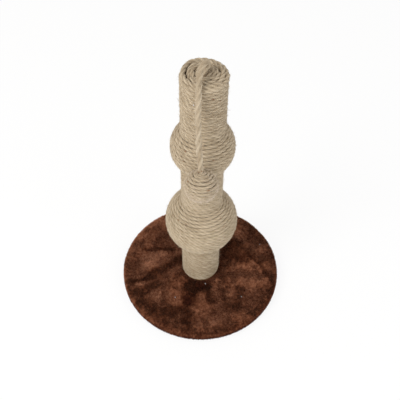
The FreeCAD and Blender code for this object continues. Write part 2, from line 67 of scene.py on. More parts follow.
# ---- The toy ----
TOY_CENTRE = np.array((-1.31, -75.07, 341.13))
TOY_AXIS = np.array((0.038, -0.242, -0.97))
TOY_PATH_RADIUS = 22.2
TOY_TURN_PITCH = 5.1
TOY_HOLE_RADIUS = 5.9           # where the winding starts, round the hole on top
TOY_POCKET_RADIUS = 9.7         # where it ends, round the pocket below
TOY_ROPE_ROUTE = [              # from the knot in the post, over the rim, to the knot below
    (0, 0, 457.1), (-0.13, -0.13, 474), (0, 0, 489.5), (4.44, 4.27, 497.5),
    (3.42, 0.9, 506.3), (-1.7, -7.62, 506.9), (-5.53, -16.27, 502.3), (-6.55, -25.74, 496.6),
    (-6.7, -36.4, 491.4), (-7.09, -38.63, 487.14), (-7.25, -47.06, 453.17),
    (-6.02, -57.33, 411.98), (-2.3, -68.85, 366.04), (-0.96, -77.24, 332.4),
]
HANGS_FROM = 62.0               # the distance along it where it hangs free
TO_THE_FRONT = (0.0, -1.0, 0.0)

# ---- The laid rope, as it looks ----
STRANDS = 3
STRAND_ANGLES = (-45, -15, 15, 45)          # points on the back of each strand, in degrees
STRAND_REACH = (0.81, 0.97, 0.97, 0.81)     # how far out they lie, as shares of the radius
LOOSE_REACH = (0.73, 0.97, 0.97, 0.73)      # deeper grooves, where the turns lie loose
TOY_REACH = (0.785, 0.97, 0.97, 0.785)      # the same on the toy's rope
FIBRE_STRETCH = 0.09            # a step along the rope counts this much in its streaks
GROOVE_SHADE = 2.3              # how much painted shade lies between the strands
INNER_SHADE = 0.22              # and on the side towards the post
POST_ROPE = (3.3, 29.0)         # radius, and length of one full twist
TOY_ROPE = (4.55, 48.0)
BALL_ROPE = (2.62, 27.0)
KNOT_TWIST = 30.0               # length of one full twist in the knots
SHADED_BELOW = 118.0              # painted shade starts to darken the rope below this height,
SHADE_FADE = 60.0                # and is at its full this much lower
BUMP_ANGLE = radians(128)       # where the turns on top are pushed up, behind the toy rope
BUMP_HEIGHT, BUMP_WIDTH = 1.6, 0.75         # in millimetres and radians
SUNK = 0.45                     # the rope looks thicker than the solid, so its line is lower

# Loose fibres: how many, and how far from the rope's line they come out.
LOWER_FIBRES, UPPER_FIBRES, POST_FIBRE_ROOT = 11000, 12000, 3.05
BALL_FIBRES, BALL_FIBRE_ROOT = 1300, 2.6
BALL_FUZZ, BALL_FUZZ_ROOT = 3400, 2.4
ROPE_FIBRES, ROPE_FIBRE_ROOT = 500, 3.6

# Dark bits of husk in the rope: place, direction, length, and the way that they face.
POST_FLECKS = [
    ((-27.6, -41.7, 357.0), (0.8, -0.5, -0.3), 3.2, (-27.6, -41.7, 8)),
    ((16.7, -45.2, 364.5), (1, 0.4, 0), 4.6, (16.7, -45.2, 15)),
    ((-24.8, -36.9, 373.3), (0.8, -0.5, -0.2), 3.6, (-24.8, -36.9, 24)),
    ((-38.1, -34.0, 207.3), (0.7, -0.6, -0.4), 3.4, (-38, -34, 36)),
    ((-25.0, -43.9, 207.9), (0.8, -0.4, -0.3), 3.2, (-25, -44, 37)),
    ((32.1, -33.3, 213.2), (0.7, 0.7, 0), 2.6, (32, -33, 42)),
    ((12.9, -32.3, 468.6), (1, 0.3, 0), 4.0, (12.9, -32.3, 0)),
    ((23.3, -25.8, 460.9), (0.8, 0.7, 0.3), 2.4, (23.3, -25.8, 0)),
    ((-31.4, -14.9, 285.8), (0.5, -0.9, 0), 2.0, (-31.4, -14.9, 0)),
    ((9.0, 33.6, 420.0), (1, -0.3, -0.2), 3.4, (9, 33.6, 0)),
    ((-14.0, 59.0, 186.0), (1, 0.2, -0.2), 3.0, (-14, 59, 15)),
    ((33.2, 10.5, 262.0), (-0.3, 1, 0.2), 2.8, (33.2, 10.5, 0)),
]
TOY_FLECKS = [
    ((9.6, -94.0, 352.6), (0.9, 0.25, 0.3), 5.0, (12, -18, 12)),
    ((-19.9, -80.9, 356.5), (0.9, -0.4, -0.5), 2.2, (-18.6, -6, 15)),
    ((-1.0, -72.6, 368.6), (0.1, -0.5, -0.8), 2.4, (0, -0.68, 0.73)),
    ((-5.0, -72.6, 367.2), (0.9, -0.3, -0.4), 2.6, (0, -0.68, 0.73)),
]

# ---- The plush base ----
PILE_LENGTH = 4.4
PILE_REACH = 150.4              # no tuft reaches further from the post's middle
TUFTS = 66000                   # in each of the three pieces of pile
CLOTH_SEAT = [(33.0, 21.55), (34.5, 21.6), (37.0, 21.6)]    # where it leaves the post
CLOTH_TOP = 21.6                # height of the plush's cloth on the board
CLOTH_SIDE = 146.4              # its radius round the rim
CLOTH_CORNER = 6.0              # its bend over the rim
CLOTH_FOOT = 2.6                # its bend where it is turned in
CLOTH_LOW = 4.4                 # its height underneath
CLOTH_EDGE = 111.0              # radius of its cut edge underneath
CLOTH_RINGS, CLOTH_AROUND = 150, 360
BARE_WITHIN = 35.2              # no pile this near the post's middle line
PRESSED_WITHIN = 44.0           # nearer than this the post presses the pile away
RIM_FROM, SHADED_CREASE = 139.0, 137.5             # radius where the rim starts, and of its crease, darkened with painted shade
LINING_RADIUS = 118.5
LINING_HEIGHT = 3.35

# Where the pile was brushed: how much painted sheen (+) or shade (-) it gets, how wide,
# and along which line on the base's top, in millimetres from the post's middle.
NAP_STROKES = [
    (-1.3, 7, [(-115, 35), (-91, 36), (-59, 38)]),
    (-1.2, 15, [(-40, 18), (-59, 1), (-79, -13), (-93, -26), (-101, -34)]),
    (-1.3, 7, [(-134, -36), (-108, -33)]),
    (-1.0, 15, [(-126, -60), (-110, -62), (-94, -52), (-85, -47)]),
    (-1.1, 14, [(-106, -82), (-91, -91), (-84, -102)]),
    (-0.7, 8, [(-67, -76), (-64, -80)]),
    (-1.1, 22, [(-62, -103), (-47, -99)]),
    (-1.5, 28, [(-9, -40), (-16, -60), (-20, -75)]),
    (-1.1, 19, [(-24, -85), (-27, -97), (-18, -111), (-18, -123)]),
    (-0.7, 10, [(-40, -121), (-25, -123)]),
    (-1.0, 11, [(0, -47), (17, -49)]),
    (-1.0, 11, [(12, -52), (16, -64), (22, -79)]),
    (-0.8, 9, [(41, -26), (46, -38), (57, -48)]),
    (-0.6, 9, [(48, 4), (52, -6)]),
    (-0.8, 12, [(76, -53), (80, -68), (71, -88), (66, -98)]),
    (-0.5, 8, [(46, -54), (47, -79), (49, -93)]),
    (-0.7, 22, [(46, 39), (60, 50), (76, 32), (80, 15)]),
    (-0.6, 14, [(39, 23), (69, 18)]),
    (-0.8, 7, [(94, 29), (107, 16), (120, -3), (128, -26)]),
    (-0.6, 6, [(109, -45), (115, -47)]),
    (-0.5, 8, [(-117, 19), (-118, 8)]),
    (-0.4, 9, [(-94, 86), (-110, 76)]),
    (-0.5, 10, [(-76, -113), (-59, -124)]),
    (-0.4, 8, [(6, -118), (14, -122)]),
    (-0.5, 12, [(-53, -41), (-38, -33), (-28, -50)]),
    (1.3, 19, [(-106, 10), (-90, 18), (-71, 23)]),
    (0.7, 14, [(-110, -7), (-88, 1), (-55, 9), (-45, 29)]),
    (0.7, 7, [(-123, -43), (-97, -42)]),
    (1.2, 14, [(-84, -64), (-77, -63), (-74, -76)]),
    (-0.5, 14, [(-52, -56), (-47, -72)]),
    (0.6, 12, [(-67, -31), (-50, -12), (-43, -12)]),
    (0.3, 10, [(-58, -69), (-40, -76)]),
    (0.4, 26, [(64, -4), (82, -14), (102, -6), (110, -27)]),
    (0.3, 26, [(92, -37), (88, -73), (104, -57)]),
    (0.6, 13, [(-9, -127), (16, -124), (43, -117), (63, -102)]),
    (0.1, 17, [(2, -75), (7, -99), (0, -118)]),
    (0.5, 12, [(30, -49), (35, -74), (37, -98), (32, -117)]),
    (0.5, 17, [(70, 83), (93, 60), (126, 33)]),
    (0.4, 12, [(-61, -91), (-40, -85)]),
    (0.5, 26, [(-60, 58), (-42, 84)]),
]

# Specks of lint: place and size.
LINT = [
    (10, -43, 25.2, 1.3), (-46, -74, 25.0, 0.9), (78, -70, 25.0, 1.05), (118, 52, 25.0, 0.9),
    (-120, 84, 24.8, 0.8), (64, 104, 25.0, 0.7), (-31, 121, 25.0, 0.8),
    (-13.8, -33.6, 458.9, 1.0),
]

# ---- The camera, in metres and radians ----
CAMERA_PLACE = (0.0, -0.6548, 0.9955)
CAMERA_AIM = (0.0, 0.0, 0.22012)
CAMERA_ROLL = 0.0195
CAMERA_LENS = 53.85
CAMERA_SHIFT = -0.0043

# ---- The studio ----
ROOM_COLOUR, ROOM_LIGHT = (1.0, 0.99, 0.98, 1.0), 0.66
WHITE = (1.0, 1.0, 1.0, 1.0)
FLOOR_WHITE = 0.86              # how much of the floor is plain white to the camera
LAMPS = [                       # name, place, size, power and colour
    ("key", (-1.5, -1.2, 1.9), 1.3, 34.0, (1.0, 0.985, 0.96)),
    ("fill", (1.7, -1.4, 1.1), 1.6, 13.0, (0.97, 0.985, 1.0)),
]
LAMP_AIM = (0, 0, 0.2)


# ------------------------------------------------------------------- shader helpers
def paint(red, green, blue):
    """A paint colour given from 0 to 255, as the shader takes it."""
    parts = []
    for part in (red, green, blue):
        share = part / 255
        parts.append(share / 12.92 if share <= 0.04045 else ((share + 0.055) / 1.055) ** 2.4)
    return (*parts, 1.0)


class Value:
    """A shader socket that takes the usual signs in sums."""

    def __init__(self, nodes, socket):
        self.nodes, self.socket = nodes, socket

    def sum(self, operation, first, second):
        return self.nodes.node("ShaderNodeMath", {"operation": operation}, {0: first, 1: second})

    def __add__(self, other):
        return self.sum("ADD", self, other)

    def __sub__(self, other):
        return self.sum("SUBTRACT", self, other)

    def __rsub__(self, other):
        return self.sum("SUBTRACT", other, self)

    def __mul__(self, other):
        return self.sum("MULTIPLY", self, other)

    def __pow__(self, other):
        return self.sum("POWER", self, other)

    __radd__, __rmul__ = __add__, __mul__

    def clipped(self):
        return self.nodes.node("ShaderNodeClamp", {}, {0: self})


class Nodes:
    """A tree of nodes, with one method that makes any of them."""

    def __init__(self, tree):
        self.tree = tree

    def put(self, socket, value):
        if isinstance(value, Value):
            self.tree.links.new(value.socket, socket)
        else:
            socket.default_value = value

    def node(self, kind, settings, values, output=0):
        made = self.tree.nodes.new(kind)
        for name, value in settings.items():
            if name == "stops":
                ramp = made.color_ramp.elements
                while len(ramp) < len(value):
                    ramp.new(0.5)
                for stop, (place, colour) in zip(ramp, value):
                    stop.position, stop.color = place, colour
            else:
                setattr(made, name, value)
        for name, value in values.items():
            self.put(made.inputs[name], value)
        return Value(self, made.outputs[output])

    def in_sight(self):
        """1 for rays from the camera, also by way of a glossy or clear surface, or else 0."""
        rays = self.node("ShaderNodeLightPath", {}, {}).socket.node.outputs
        camera, glossy, through = (
            Value(self, rays[f"Is {way} Ray"]) for way in ("Camera", "Glossy", "Transmission")
        )
        return (camera + glossy + through).clipped()

    def end_with(self, name, factor, first, second):
        """The tree's last node takes a mix of two shaders."""
        mix = self.node("ShaderNodeMixShader", {}, {0: factor, 1: first, 2: second})
        self.put(self.tree.nodes[name].inputs[0], mix)


class Finish(Nodes):
    """A material, with the nodes that finishes are made from."""

    def __init__(self, name, **surface):
        self.material = bpy.data.materials.new(name)
        self.material.use_nodes = True
        super().__init__(self.material.node_tree)
        self.shader = self.tree.nodes["Principled BSDF"]
        for socket, value in surface.items():
            self.set(socket.replace("_", " ").title().replace("Ior", "IOR"), value)

    def set(self, name, value):
        self.put(self.shader.inputs[name], value)

    def attribute(self, name, part=None):
        found = self.node("ShaderNodeAttribute", {"attribute_name": name}, {}, 1)
        return found if part is None else self.parts(found, part)

    def parts(self, vector, part):
        return self.node("ShaderNodeSeparateXYZ", {}, {0: vector}, part)

    def place(self):
        return self.node("ShaderNodeTexCoord", {}, {}, 3)

    def noise(self, vector, scale, detail=3.0, roughness=0.5):
        return self.node(
            "ShaderNodeTexNoise", {},
            {"Vector": vector, "Scale": scale, "Detail": detail, "Roughness": roughness},
        )

    def ramp(self, factor, stops):
        return self.node("ShaderNodeValToRGB", {"stops": stops}, {0: factor})

    def shaded(self, factor, *stops):
        """A base colour that follows a factor. Each stop is a place and a paint."""
        ramp = self.ramp(factor, [(place, paint(*colour)) for place, colour in stops])
        self.set("Base Color", ramp)

    def between(self, factor, low, high):
        """0 below low, 1 above high and even in between."""
        return self.node(
            "ShaderNodeMapRange", {}, {"Value": factor, "From Min": low, "From Max": high}
        )

    def mixed(self, factor, first, second, way="MIX"):
        settings = {"data_type": "RGBA", "blend_type": way}
        return self.node("ShaderNodeMix", settings, {0: factor, 6: first, 7: second}, 2)

    def stretched(self, vector, along):
        return self.node("ShaderNodeVectorMath", {"operation": "MULTIPLY"}, {0: vector, 1: along})

    def bump(self, height, strength, distance):
        raised = self.node(
            "ShaderNodeBump", {}, {"Strength": strength, "Distance": distance, "Height": height}
        )
        self.set("Normal", raised)


# ---------------------------------------------------------------------- the finishes
def sisal(name, pale, usual, deep, groove_shading):
    """Natural sisal fibres: streaks along each strand, with painted shade in its grooves, on the
    side towards the post and near the floor.
    """
    finish = Finish(
        name, roughness=0.86, specular_ior_level=0.22, sheen_weight=0.18, sheen_roughness=0.5
    )
    # wear holds the strands' tone, then the painted shade in the grooves and towards the post, then
    # the painted shade near the floor.
    fibre, wear = finish.attribute("fibre"), finish.attribute("wear")
    tone = finish.parts(wear, 0)
    painted_shade, foot_shade = finish.parts(wear, 1), finish.parts(wear, 2)
    streaks = finish.noise(fibre, 1.5, 4.0, 0.62)
    hairs = finish.noise(fibre, 5.5, 3.0, 0.6)
    patches = finish.noise(finish.place(), 24.0, 3.0, 0.55)
    # Less light near the floor: painted shade.
    light = streaks * 0.44 + hairs * 0.30 + patches * 0.22 + tone * 0.17 + 0.01 - foot_shade * 0.09
    stops = [(0.22, paint(*deep)), (0.47, paint(*usual)), (0.74, paint(*pale))]
    colour = finish.ramp(light, stops)
    fleck = finish.between(finish.noise(fibre, 2.3, 2.0, 0.5), 0.70, 0.76)
    colour = finish.mixed(fleck * 0.55, colour, paint(120, 84, 56))
    # Painted shade in the grooves and on the side towards the post.
    colour = finish.mixed((painted_shade * 0.8).clipped(), colour, paint(*groove_shading))
    finish.set("Base Color", colour)
    finish.set("Roughness", 0.78 + hairs * 0.16)
    finish.bump(streaks * 0.6 + hairs * 0.4, 0.4, 0.0005)
    return finish.material


def loose_fibre(name, pale, usual, stray):
    """Single fibres that stand off the rope: some dark, most pale."""
    finish = Finish(name, roughness=0.7, specular_ior_level=0.3)
    finish.shaded(finish.attribute("strand", 0), (0.02, stray), (0.06, usual), (1.0, pale))
    return finish.material


def pile_finish():
    """Short plush pile: painted shade at the root, lighter at the tip, with painted sheen and shade
    by how it was brushed.
    """
    finish = Finish(
        "brown_pile", roughness=0.74, specular_ior_level=0.16,
        sheen_weight=0.17, sheen_roughness=0.4,
    )
    finish.set("Sheen Tint", paint(190, 140, 110))
    pile = finish.attribute("strand")
    tone, height = finish.parts(pile, 0), finish.parts(pile, 1)
    colour = finish.ramp(tone, [
        (0.0, paint(60, 21, 8)), (0.3, paint(110, 61, 37)),
        (0.6, paint(166, 109, 79)), (1.0, paint(208, 152, 120)),
    ])
    # Painted shade at the root of each tuft, less of it towards the tip.
    root = finish.mixed(1.0, colour, (0.60, 0.50, 0.43, 1.0), "MULTIPLY")
    finish.set("Base Color", finish.mixed(height ** 0.6, root, colour))
    return finish.material


def backing_finish():
    """The plush's cloth and the thick of its pile, seen between the tufts, darker with painted
    shade.
    """
    finish = Finish("brown_backing", roughness=0.95, specular_ior_level=0.1)
    tone = finish.attribute("strand", 0)
    grain = finish.noise(finish.place(), 900.0, 2.0, 0.6)
    finish.shaded(
        tone * 0.6 + grain * 0.4, (0.15, (40, 19, 12)), (0.5, (84, 48, 32)), (0.9, (128, 82, 58))
    )
    finish.bump(grain, 0.6, 0.0008)
    return finish.material


def lint_finish():
    finish = Finish("pale_lint", roughness=0.8)
    grain = finish.noise(finish.place(), 2500.0)
    finish.shaded(grain, (0.3, (205, 205, 212)), (0.7, (245, 244, 246)))
    return finish.material


def lining_finish():
    """Thin black non-woven cloth: pressed fibres and a grid of weld points."""
    finish = Finish("black_nonwoven", roughness=0.85, specular_ior_level=0.3)
    place = finish.place()
    fibres = finish.noise(finish.stretched(place, (1.0, 0.35, 1.0)), 700.0, 5.0, 0.7)
    cells = finish.node(
        "ShaderNodeTexVoronoi", {}, {"Vector": place, "Scale": 420.0, "Randomness": 0.15}
    )
    welds = finish.between(cells, 0.22, 0.36)
    finish.shaded(fibres * 0.7 + welds * 0.25, (0.2, (22, 22, 24)), (0.8, (56, 56, 60)))
    finish.bump(fibres * 0.5 + welds * 0.5, 0.5, 0.0004)
    return finish.material


def rubber_finish():
    finish = Finish("pad_rubber", roughness=0.7, specular_ior_level=0.4)
    place = finish.place()
    grain = finish.noise(place, 1500.0, 3.0, 0.6)
    scuffs = finish.between(finish.noise(place, 160.0, 4.0, 0.6), 0.52, 0.7)
    colour = finish.mixed(scuffs * 0.5, paint(38, 38, 40), paint(74, 72, 70))
    finish.set("Base Color", colour)
    finish.set("Roughness", 0.58 + scuffs * 0.25)
    finish.bump(grain, 0.35, 0.0003)
    return finish.material


def zinc_finish():
    finish = Finish("zinc_steel", metallic=1.0, roughness=0.35)
    place = finish.place()
    spangle = finish.node("ShaderNodeTexVoronoi", {}, {"Vector": place, "Scale": 650.0}, 1)
    shade = finish.parts(spangle, 0)
    wear = finish.noise(place, 300.0, 4.0, 0.6)
    finish.shaded(shade * 0.4 + wear * 0.6, (0.2, (150, 152, 155)), (0.8, (205, 207, 210)))
    finish.set("Roughness", 0.26 + wear * 0.3)
    finish.bump(wear, 0.15, 0.0001)
    return finish.material


def wood_finish():
    finish = Finish("plain_wood", roughness=0.7, specular_ior_level=0.3)
    place = finish.place()
    bent = finish.noise(place, 30.0, 2.0)
    rings = finish.node(
        "ShaderNodeTexWave", {"wave_type": "RINGS", "rings_direction": "Z"},
        {"Vector": place, "Scale": 60.0, "Distortion": 4.0, "Detail": 3.0},
    )
    grain = finish.noise(finish.stretched(place, (1.0, 1.0, 0.08)), 800.0, 4.0, 0.6)
    light = rings * 0.5 + grain * 0.35 + bent * 0.15
    finish.shaded(light, (0.2, (190, 152, 104)), (0.8, (222, 190, 144)))
    finish.bump(grain, 0.3, 0.0003)
    return finish.material


def fibreboard_finish():
    finish = Finish("fibreboard", roughness=0.85, specular_ior_level=0.2)
    place = finish.place()
    chips = finish.noise(place, 420.0, 5.0, 0.7)
    layers = finish.noise(finish.stretched(place, (1.0, 1.0, 8.0)), 120.0, 3.0)
    finish.shaded(chips * 0.7 + layers * 0.3, (0.3, (150, 116, 80)), (0.7, (196, 164, 124)))
    finish.bump(chips, 0.4, 0.0003)
    return finish.material


def card_finish():
    finish = Finish("tube_card", roughness=0.9, specular_ior_level=0.15)
    place = finish.place()
    fibres = finish.noise(finish.stretched(place, (1.0, 1.0, 0.3)), 600.0, 5.0, 0.7)
    stains = finish.noise(place, 40.0, 3.0)
    finish.shaded(fibres * 0.6 + stains * 0.4, (0.3, (96, 70, 44)), (0.7, (140, 108, 74)))
    finish.bump(fibres, 0.3, 0.0003)
    return finish.material


def foam_finish():
    """Foam beads in brown, as painted shade where they show in the gaps between the rope's turns.
    """
    finish = Finish("foam_in_painted_shade", roughness=0.6, specular_ior_level=0.4)
    place = finish.place()
    beads = finish.node(
        "ShaderNodeTexVoronoi", {"feature": "SMOOTH_F1"}, {"Vector": place, "Scale": 330.0}
    )
    gap_shade = finish.noise(place, 90.0, 4.0, 0.6)
    finish.shaded(gap_shade, (0.3, (84, 60, 36)), (0.55, (128, 98, 64)), (0.72, (176, 150, 112)))
    finish.bump(beads, 0.5, 0.0006)
    return finish.material


# ------------------------------------------------------------------------ mesh helpers
def add_piece(name, points, faces, material, uv=None, smooth=True, **attributes):
    """A mesh object from points in millimetres and arrays of faces, one array per size.

    Each attribute gives three values for each point.
    """
    mesh = bpy.data.meshes.new(name)
    points = np.asarray(points, np.float32) * MM
    mesh.vertices.add(points.size // 3)
    mesh.vertices.foreach_set("co", points.ravel())
    corners = np.concatenate([f.ravel() for f in faces]).astype(np.int32)
    sizes = np.concatenate([np.full(f.size // f.shape[-1], f.shape[-1]) for f in faces])
    mesh.loops.add(len(corners))
    mesh.loops.foreach_set("vertex_index", corners)
    mesh.polygons.add(len(sizes))
    starts = np.concatenate([[0], np.cumsum(sizes)[:-1]]).astype(np.int32)
    mesh.polygons.foreach_set("loop_start", starts)
    mesh.polygons.foreach_set("use_smooth", np.full(len(sizes), smooth))
    for label, values in attributes.items():
        layer = mesh.attributes.new(label, "FLOAT_VECTOR", "POINT")
        layer.data.foreach_set("vector", np.asarray(values, np.float32).ravel())
    if uv is not None:
        layer = mesh.uv_layers.new(name="OFBake")
        layer.uv.foreach_set("vector", np.asarray(uv, np.float32).ravel())
    mesh.update(calc_edges=True)
    mesh.validate()
    mesh.materials.append(material)
    piece = bpy.data.objects.new(name, mesh)
    bpy.context.scene.collection.objects.link(piece)
    return piece


def drift(distance, spacing, seed):
    """A value that wanders between -1 and 1 along a distance."""
    distance = np.asarray(distance, float)
    knots = np.random.default_rng(seed).uniform(-1, 1, int(distance.max() / spacing) + 4)
    whole = np.floor(distance / spacing).astype(int)
    share = distance / spacing - whole
    share = share * share * (3 - 2 * share)
    return knots[whole] * (1 - share) + knots[whole + 1] * share


def field(x, y, spacing, seed):
    """A value that wanders between -1 and 1 over a surface."""
    rng = np.random.default_rng(seed)
    grid = rng.uniform(-1, 1, (128, 128))
    x, y = np.asarray(x) / spacing + 64, np.asarray(y) / spacing + 64
    column, row = np.floor(x).astype(int), np.floor(y).astype(int)
    across, up = x - column, y - row
    across, up = across**2 * (3 - 2 * across), up**2 * (3 - 2 * up)
    column, row = column % 127, row % 127
    low = grid[row, column] * (1 - across) + grid[row, column + 1] * across
    high = grid[row + 1, column] * (1 - across) + grid[row + 1, column + 1] * across
    return low * (1 - up) + high * up


def drifts(distance, *waves):
    """The sum of some drifts, each given by its size, spacing and seed."""
    return sum(size * drift(distance, spacing, seed) for size, spacing, seed in waves)


def fields(x, y, *waves):
    """The sum of some fields, each given by its size, spacing and seed."""
    return sum(size * field(x, y, spacing, seed) for size, spacing, seed in waves)


def unit(vectors):
    return vectors / np.maximum(np.linalg.norm(vectors, axis=-1, keepdims=True), 1e-9)


def summed(steps):
    """How far along the end of each step is, with 0 for the start."""
    return np.concatenate([[0], np.cumsum(steps)])


def lengths_along(points):
    return summed(np.linalg.norm(np.diff(points, axis=0), axis=1))


def at_even_steps(points, step):
    """The same line with points an even step apart."""
    along = lengths_along(points)
    wanted = np.linspace(0, along[-1], max(2, int(round(along[-1] / step)) + 1))
    return np.stack([np.interp(wanted, along, points[:, k]) for k in range(3)], -1)


def at_angle(angle, radius, height):
    """Points at an angle, a radius and a height round the upright middle line."""
    parts = np.broadcast_arrays(radius * np.cos(angle), radius * np.sin(angle), height)
    return np.stack(parts, -1)


def fit(piece, body, slot, *nodes):
    """Says what carries a piece and which nodes it stands in for. slot, what it is made of, is not
    used.
    """
    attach(piece, body)
    if nodes:
        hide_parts(*nodes)


def ring_quads(rings, around):
    """Faces between rings of points that are closed all round."""
    ring = np.arange(rings - 1)[:, None] * around
    this, following = np.arange(around)[None], (np.arange(around)[None] + 1) % around
    after = ring + around
    return np.stack([ring + this, ring + following, after + following, after + this], -1)


def spline_line(route, step):
    """Points along the smooth line of a route, in millimetres."""
    curve = bpy.data.curves.new("route", "CURVE")
    curve.dimensions = "3D"
    spline = curve.splines.new("NURBS")
    spline.points.add(len(route) - 1)
    for point, place in zip(spline.points, route):
        point.co = (*[c * MM for c in place], 1.0)
    spline.order_u = 3
    spline.use_endpoint_u = True
    curve.resolution_u = 24
    holder = bpy.data.objects.new("route", curve)
    bpy.context.scene.collection.objects.link(holder)
    mesh = bpy.data.meshes.new_from_object(holder)
    points = np.array([v.co for v in mesh.vertices], float) / MM
    bpy.data.objects.remove(holder)
    bpy.data.meshes.remove(mesh)
    return at_even_steps(points, step)


# --------------------------------------------------------------------- laid sisal rope
def rope_frames(line, outward):
    """Unit vectors along, outwards and aside at each point of a rope's line."""
    along = unit(np.gradient(line, axis=0))
    out = unit(outward - along * (outward * along).sum(1, keepdims=True))
    return along, out, np.cross(along, out)


def steady_outward(line, first):
    """Outward directions carried along a line without twist."""
    along = unit(np.gradient(line, axis=0))
    out = np.empty_like(line)
    current = np.array(first, float)
    for k in range(len(line)):
        current = current - along[k] * current.dot(along[k])
        current = current / np.linalg.norm(current)
        out[k] = current
    return out


def rope_sheet(distance, radius, around):
    """Where a rope's faces and its two ends lie on the sheet that its colours are kept on.

    Each stretch of the rope gets a strip of the sheet.
    """
    steps = len(distance) - 1
    rows = max(1, int(round(sqrt((distance[-1] - distance[0]) / (2 * pi * radius)))))
    per_row = ceil(steps / rows)
    row = np.arange(steps) // per_row
    left = (np.arange(steps) - row * per_row) / per_row
    u = left[:, None] + (0, 0, 1 / per_row, 1 / per_row)
    u = np.broadcast_to(u[:, None], (steps, around, 4)) * 0.998 + 0.001
    low = np.arange(around) / around * 0.94 + 0.03
    high = low + 0.94 / around
    v = np.stack([low, high, high, low], -1)[None] + row[:, None, None]
    faces = np.stack([u, v * (0.97 / rows)], -1).reshape(-1, 2)
    spin = 2 * pi * np.arange(around) / around
    cap = np.stack([np.cos(spin), np.sin(spin)], -1) * 0.011
    return np.concatenate([faces, cap[::-1] + (0.02, 0.985), cap + (0.06, 0.985)])


def add_rope(
    name, line, outward, start, radius, lay, material, seed,
    reach=STRAND_REACH, tips=(False, False), fuller=1.0,
):
    """A laid rope: its strands twist about its line, with a wandering size and colour.

    start is the distance along the whole rope at the line's first point. reach gives the
    strands' backs, tips says which ends taper, and fuller makes the rope thicker, as where
    slack turns spread.
    """
    distance = start + lengths_along(line)
    _, out, aside = rope_frames(line, outward)
    base = np.array([
        radians(360 / STRANDS * k) + radians(a) for k in range(STRANDS) for a in STRAND_ANGLES
    ])
    count, around = len(line), len(base)
    size = 1 + 0.025 * drift(distance, 31, seed) + 0.02 * drift(distance, 9, seed + 1)
    size = fuller * radius * size
    for at_start, tapered in zip((True, False), tips):
        if tapered:
            left = distance - distance[0] if at_start else distance[-1] - distance
            size = size * (0.55 + 0.45 * np.clip(left / (1.6 * radius), 0, 1) ** 0.5)
    twist = 2 * pi * distance / lay + 0.55 * drift(distance, 70, seed + 2)
    tone = np.stack([
        drifts(distance + 997 * k, (0.6, 26, seed + 10 + k), (0.4, 7, seed + 20 + k))
        for k in range(STRANDS)
    ], 1)
    tone = np.repeat(tone, len(STRAND_ANGLES), axis=1)
    angles = twist[:, None] + base[None]
    spokes = size[:, None] * np.tile(reach, STRANDS)[None] * (1 + 0.05 * tone)
    cosine, sine = np.cos(angles)[..., None], np.sin(angles)[..., None]
    points = line[:, None] + (out[:, None] * cosine + aside[:, None] * sine) * spokes[..., None]
    fibre = at_angle(base[None], radius, (distance * FIBRE_STRETCH)[:, None])
    # Painted shade: in the grooves between the strands, and on the side towards the post.
    groove_shading = np.tile((max(reach) - np.array(reach)) * GROOVE_SHADE, STRANDS)[None]
    inner = np.clip(-np.cos(angles), 0, 1) * INNER_SHADE
    # Painted shade low on the post, towards the floor.
    foot_shade = np.clip((SHADED_BELOW - points[..., 2]) / SHADE_FADE, 0, 1)
    # wear: the strands' tone and the two painted shades.
    wear = np.stack([tone, np.maximum(groove_shading, inner), foot_shade], -1)
    first_cap = np.arange(around)[None, ::-1]
    last_cap = (np.arange(around) + (count - 1) * around)[None]
    return add_piece(
        name, points, [ring_quads(count, around), first_cap, last_cap], material,
        rope_sheet(distance, radius, around), fibre=fibre, wear=wear,
    )


def add_strips(name, paths, widths, sides, facts, material):
    """Thin strips that taper to a tip, each along its own few points.

    widths gives a row for each strip or one for all. facts gives each strip's tone and one
    random number.
    """
    count, stops = paths.shape[:2]
    pairs = stops - 1
    widths = np.broadcast_to(widths, (count, stops))
    half = sides[:, None] * widths[..., None] / 2
    both = np.stack([paths[:, :pairs] - half[:, :pairs], paths[:, :pairs] + half[:, :pairs]], 2)
    points = np.concatenate([both.reshape(count, pairs * 2, 3), paths[:, -1:]], 1)
    each = pairs * 2 + 1
    share = np.concatenate([np.repeat(np.arange(pairs) / pairs, 2), [1.0]])
    strand = np.stack(np.broadcast_arrays(facts[:, :1], share[None], facts[:, 1:]), -1)
    # Each strip gets a cell of the sheet that its colours are kept on.
    cells = int(ceil(sqrt(count)))
    column, row = np.arange(count) % cells, np.arange(count) // cells
    across = np.concatenate([np.tile([0.22, 0.78], pairs), [0.5]])
    up = 0.2 + 0.6 * share
    sheet = np.stack([(column[:, None] + across) / cells, (row[:, None] + up) / cells], -1)
    lengths = [[j, j + 1, j + 3, j + 2] for j in range(0, each - 3, 2)]
    faces, uv = [], []
    for corners in (np.array(lengths), np.array([[each - 3, each - 2, each - 1]])):
        faces.append((np.arange(count) * each)[:, None, None] + corners)
        uv.append(sheet[:, corners].reshape(-1, 2))
    return add_piece(name, points, faces, material, np.concatenate(uv), strand=strand)


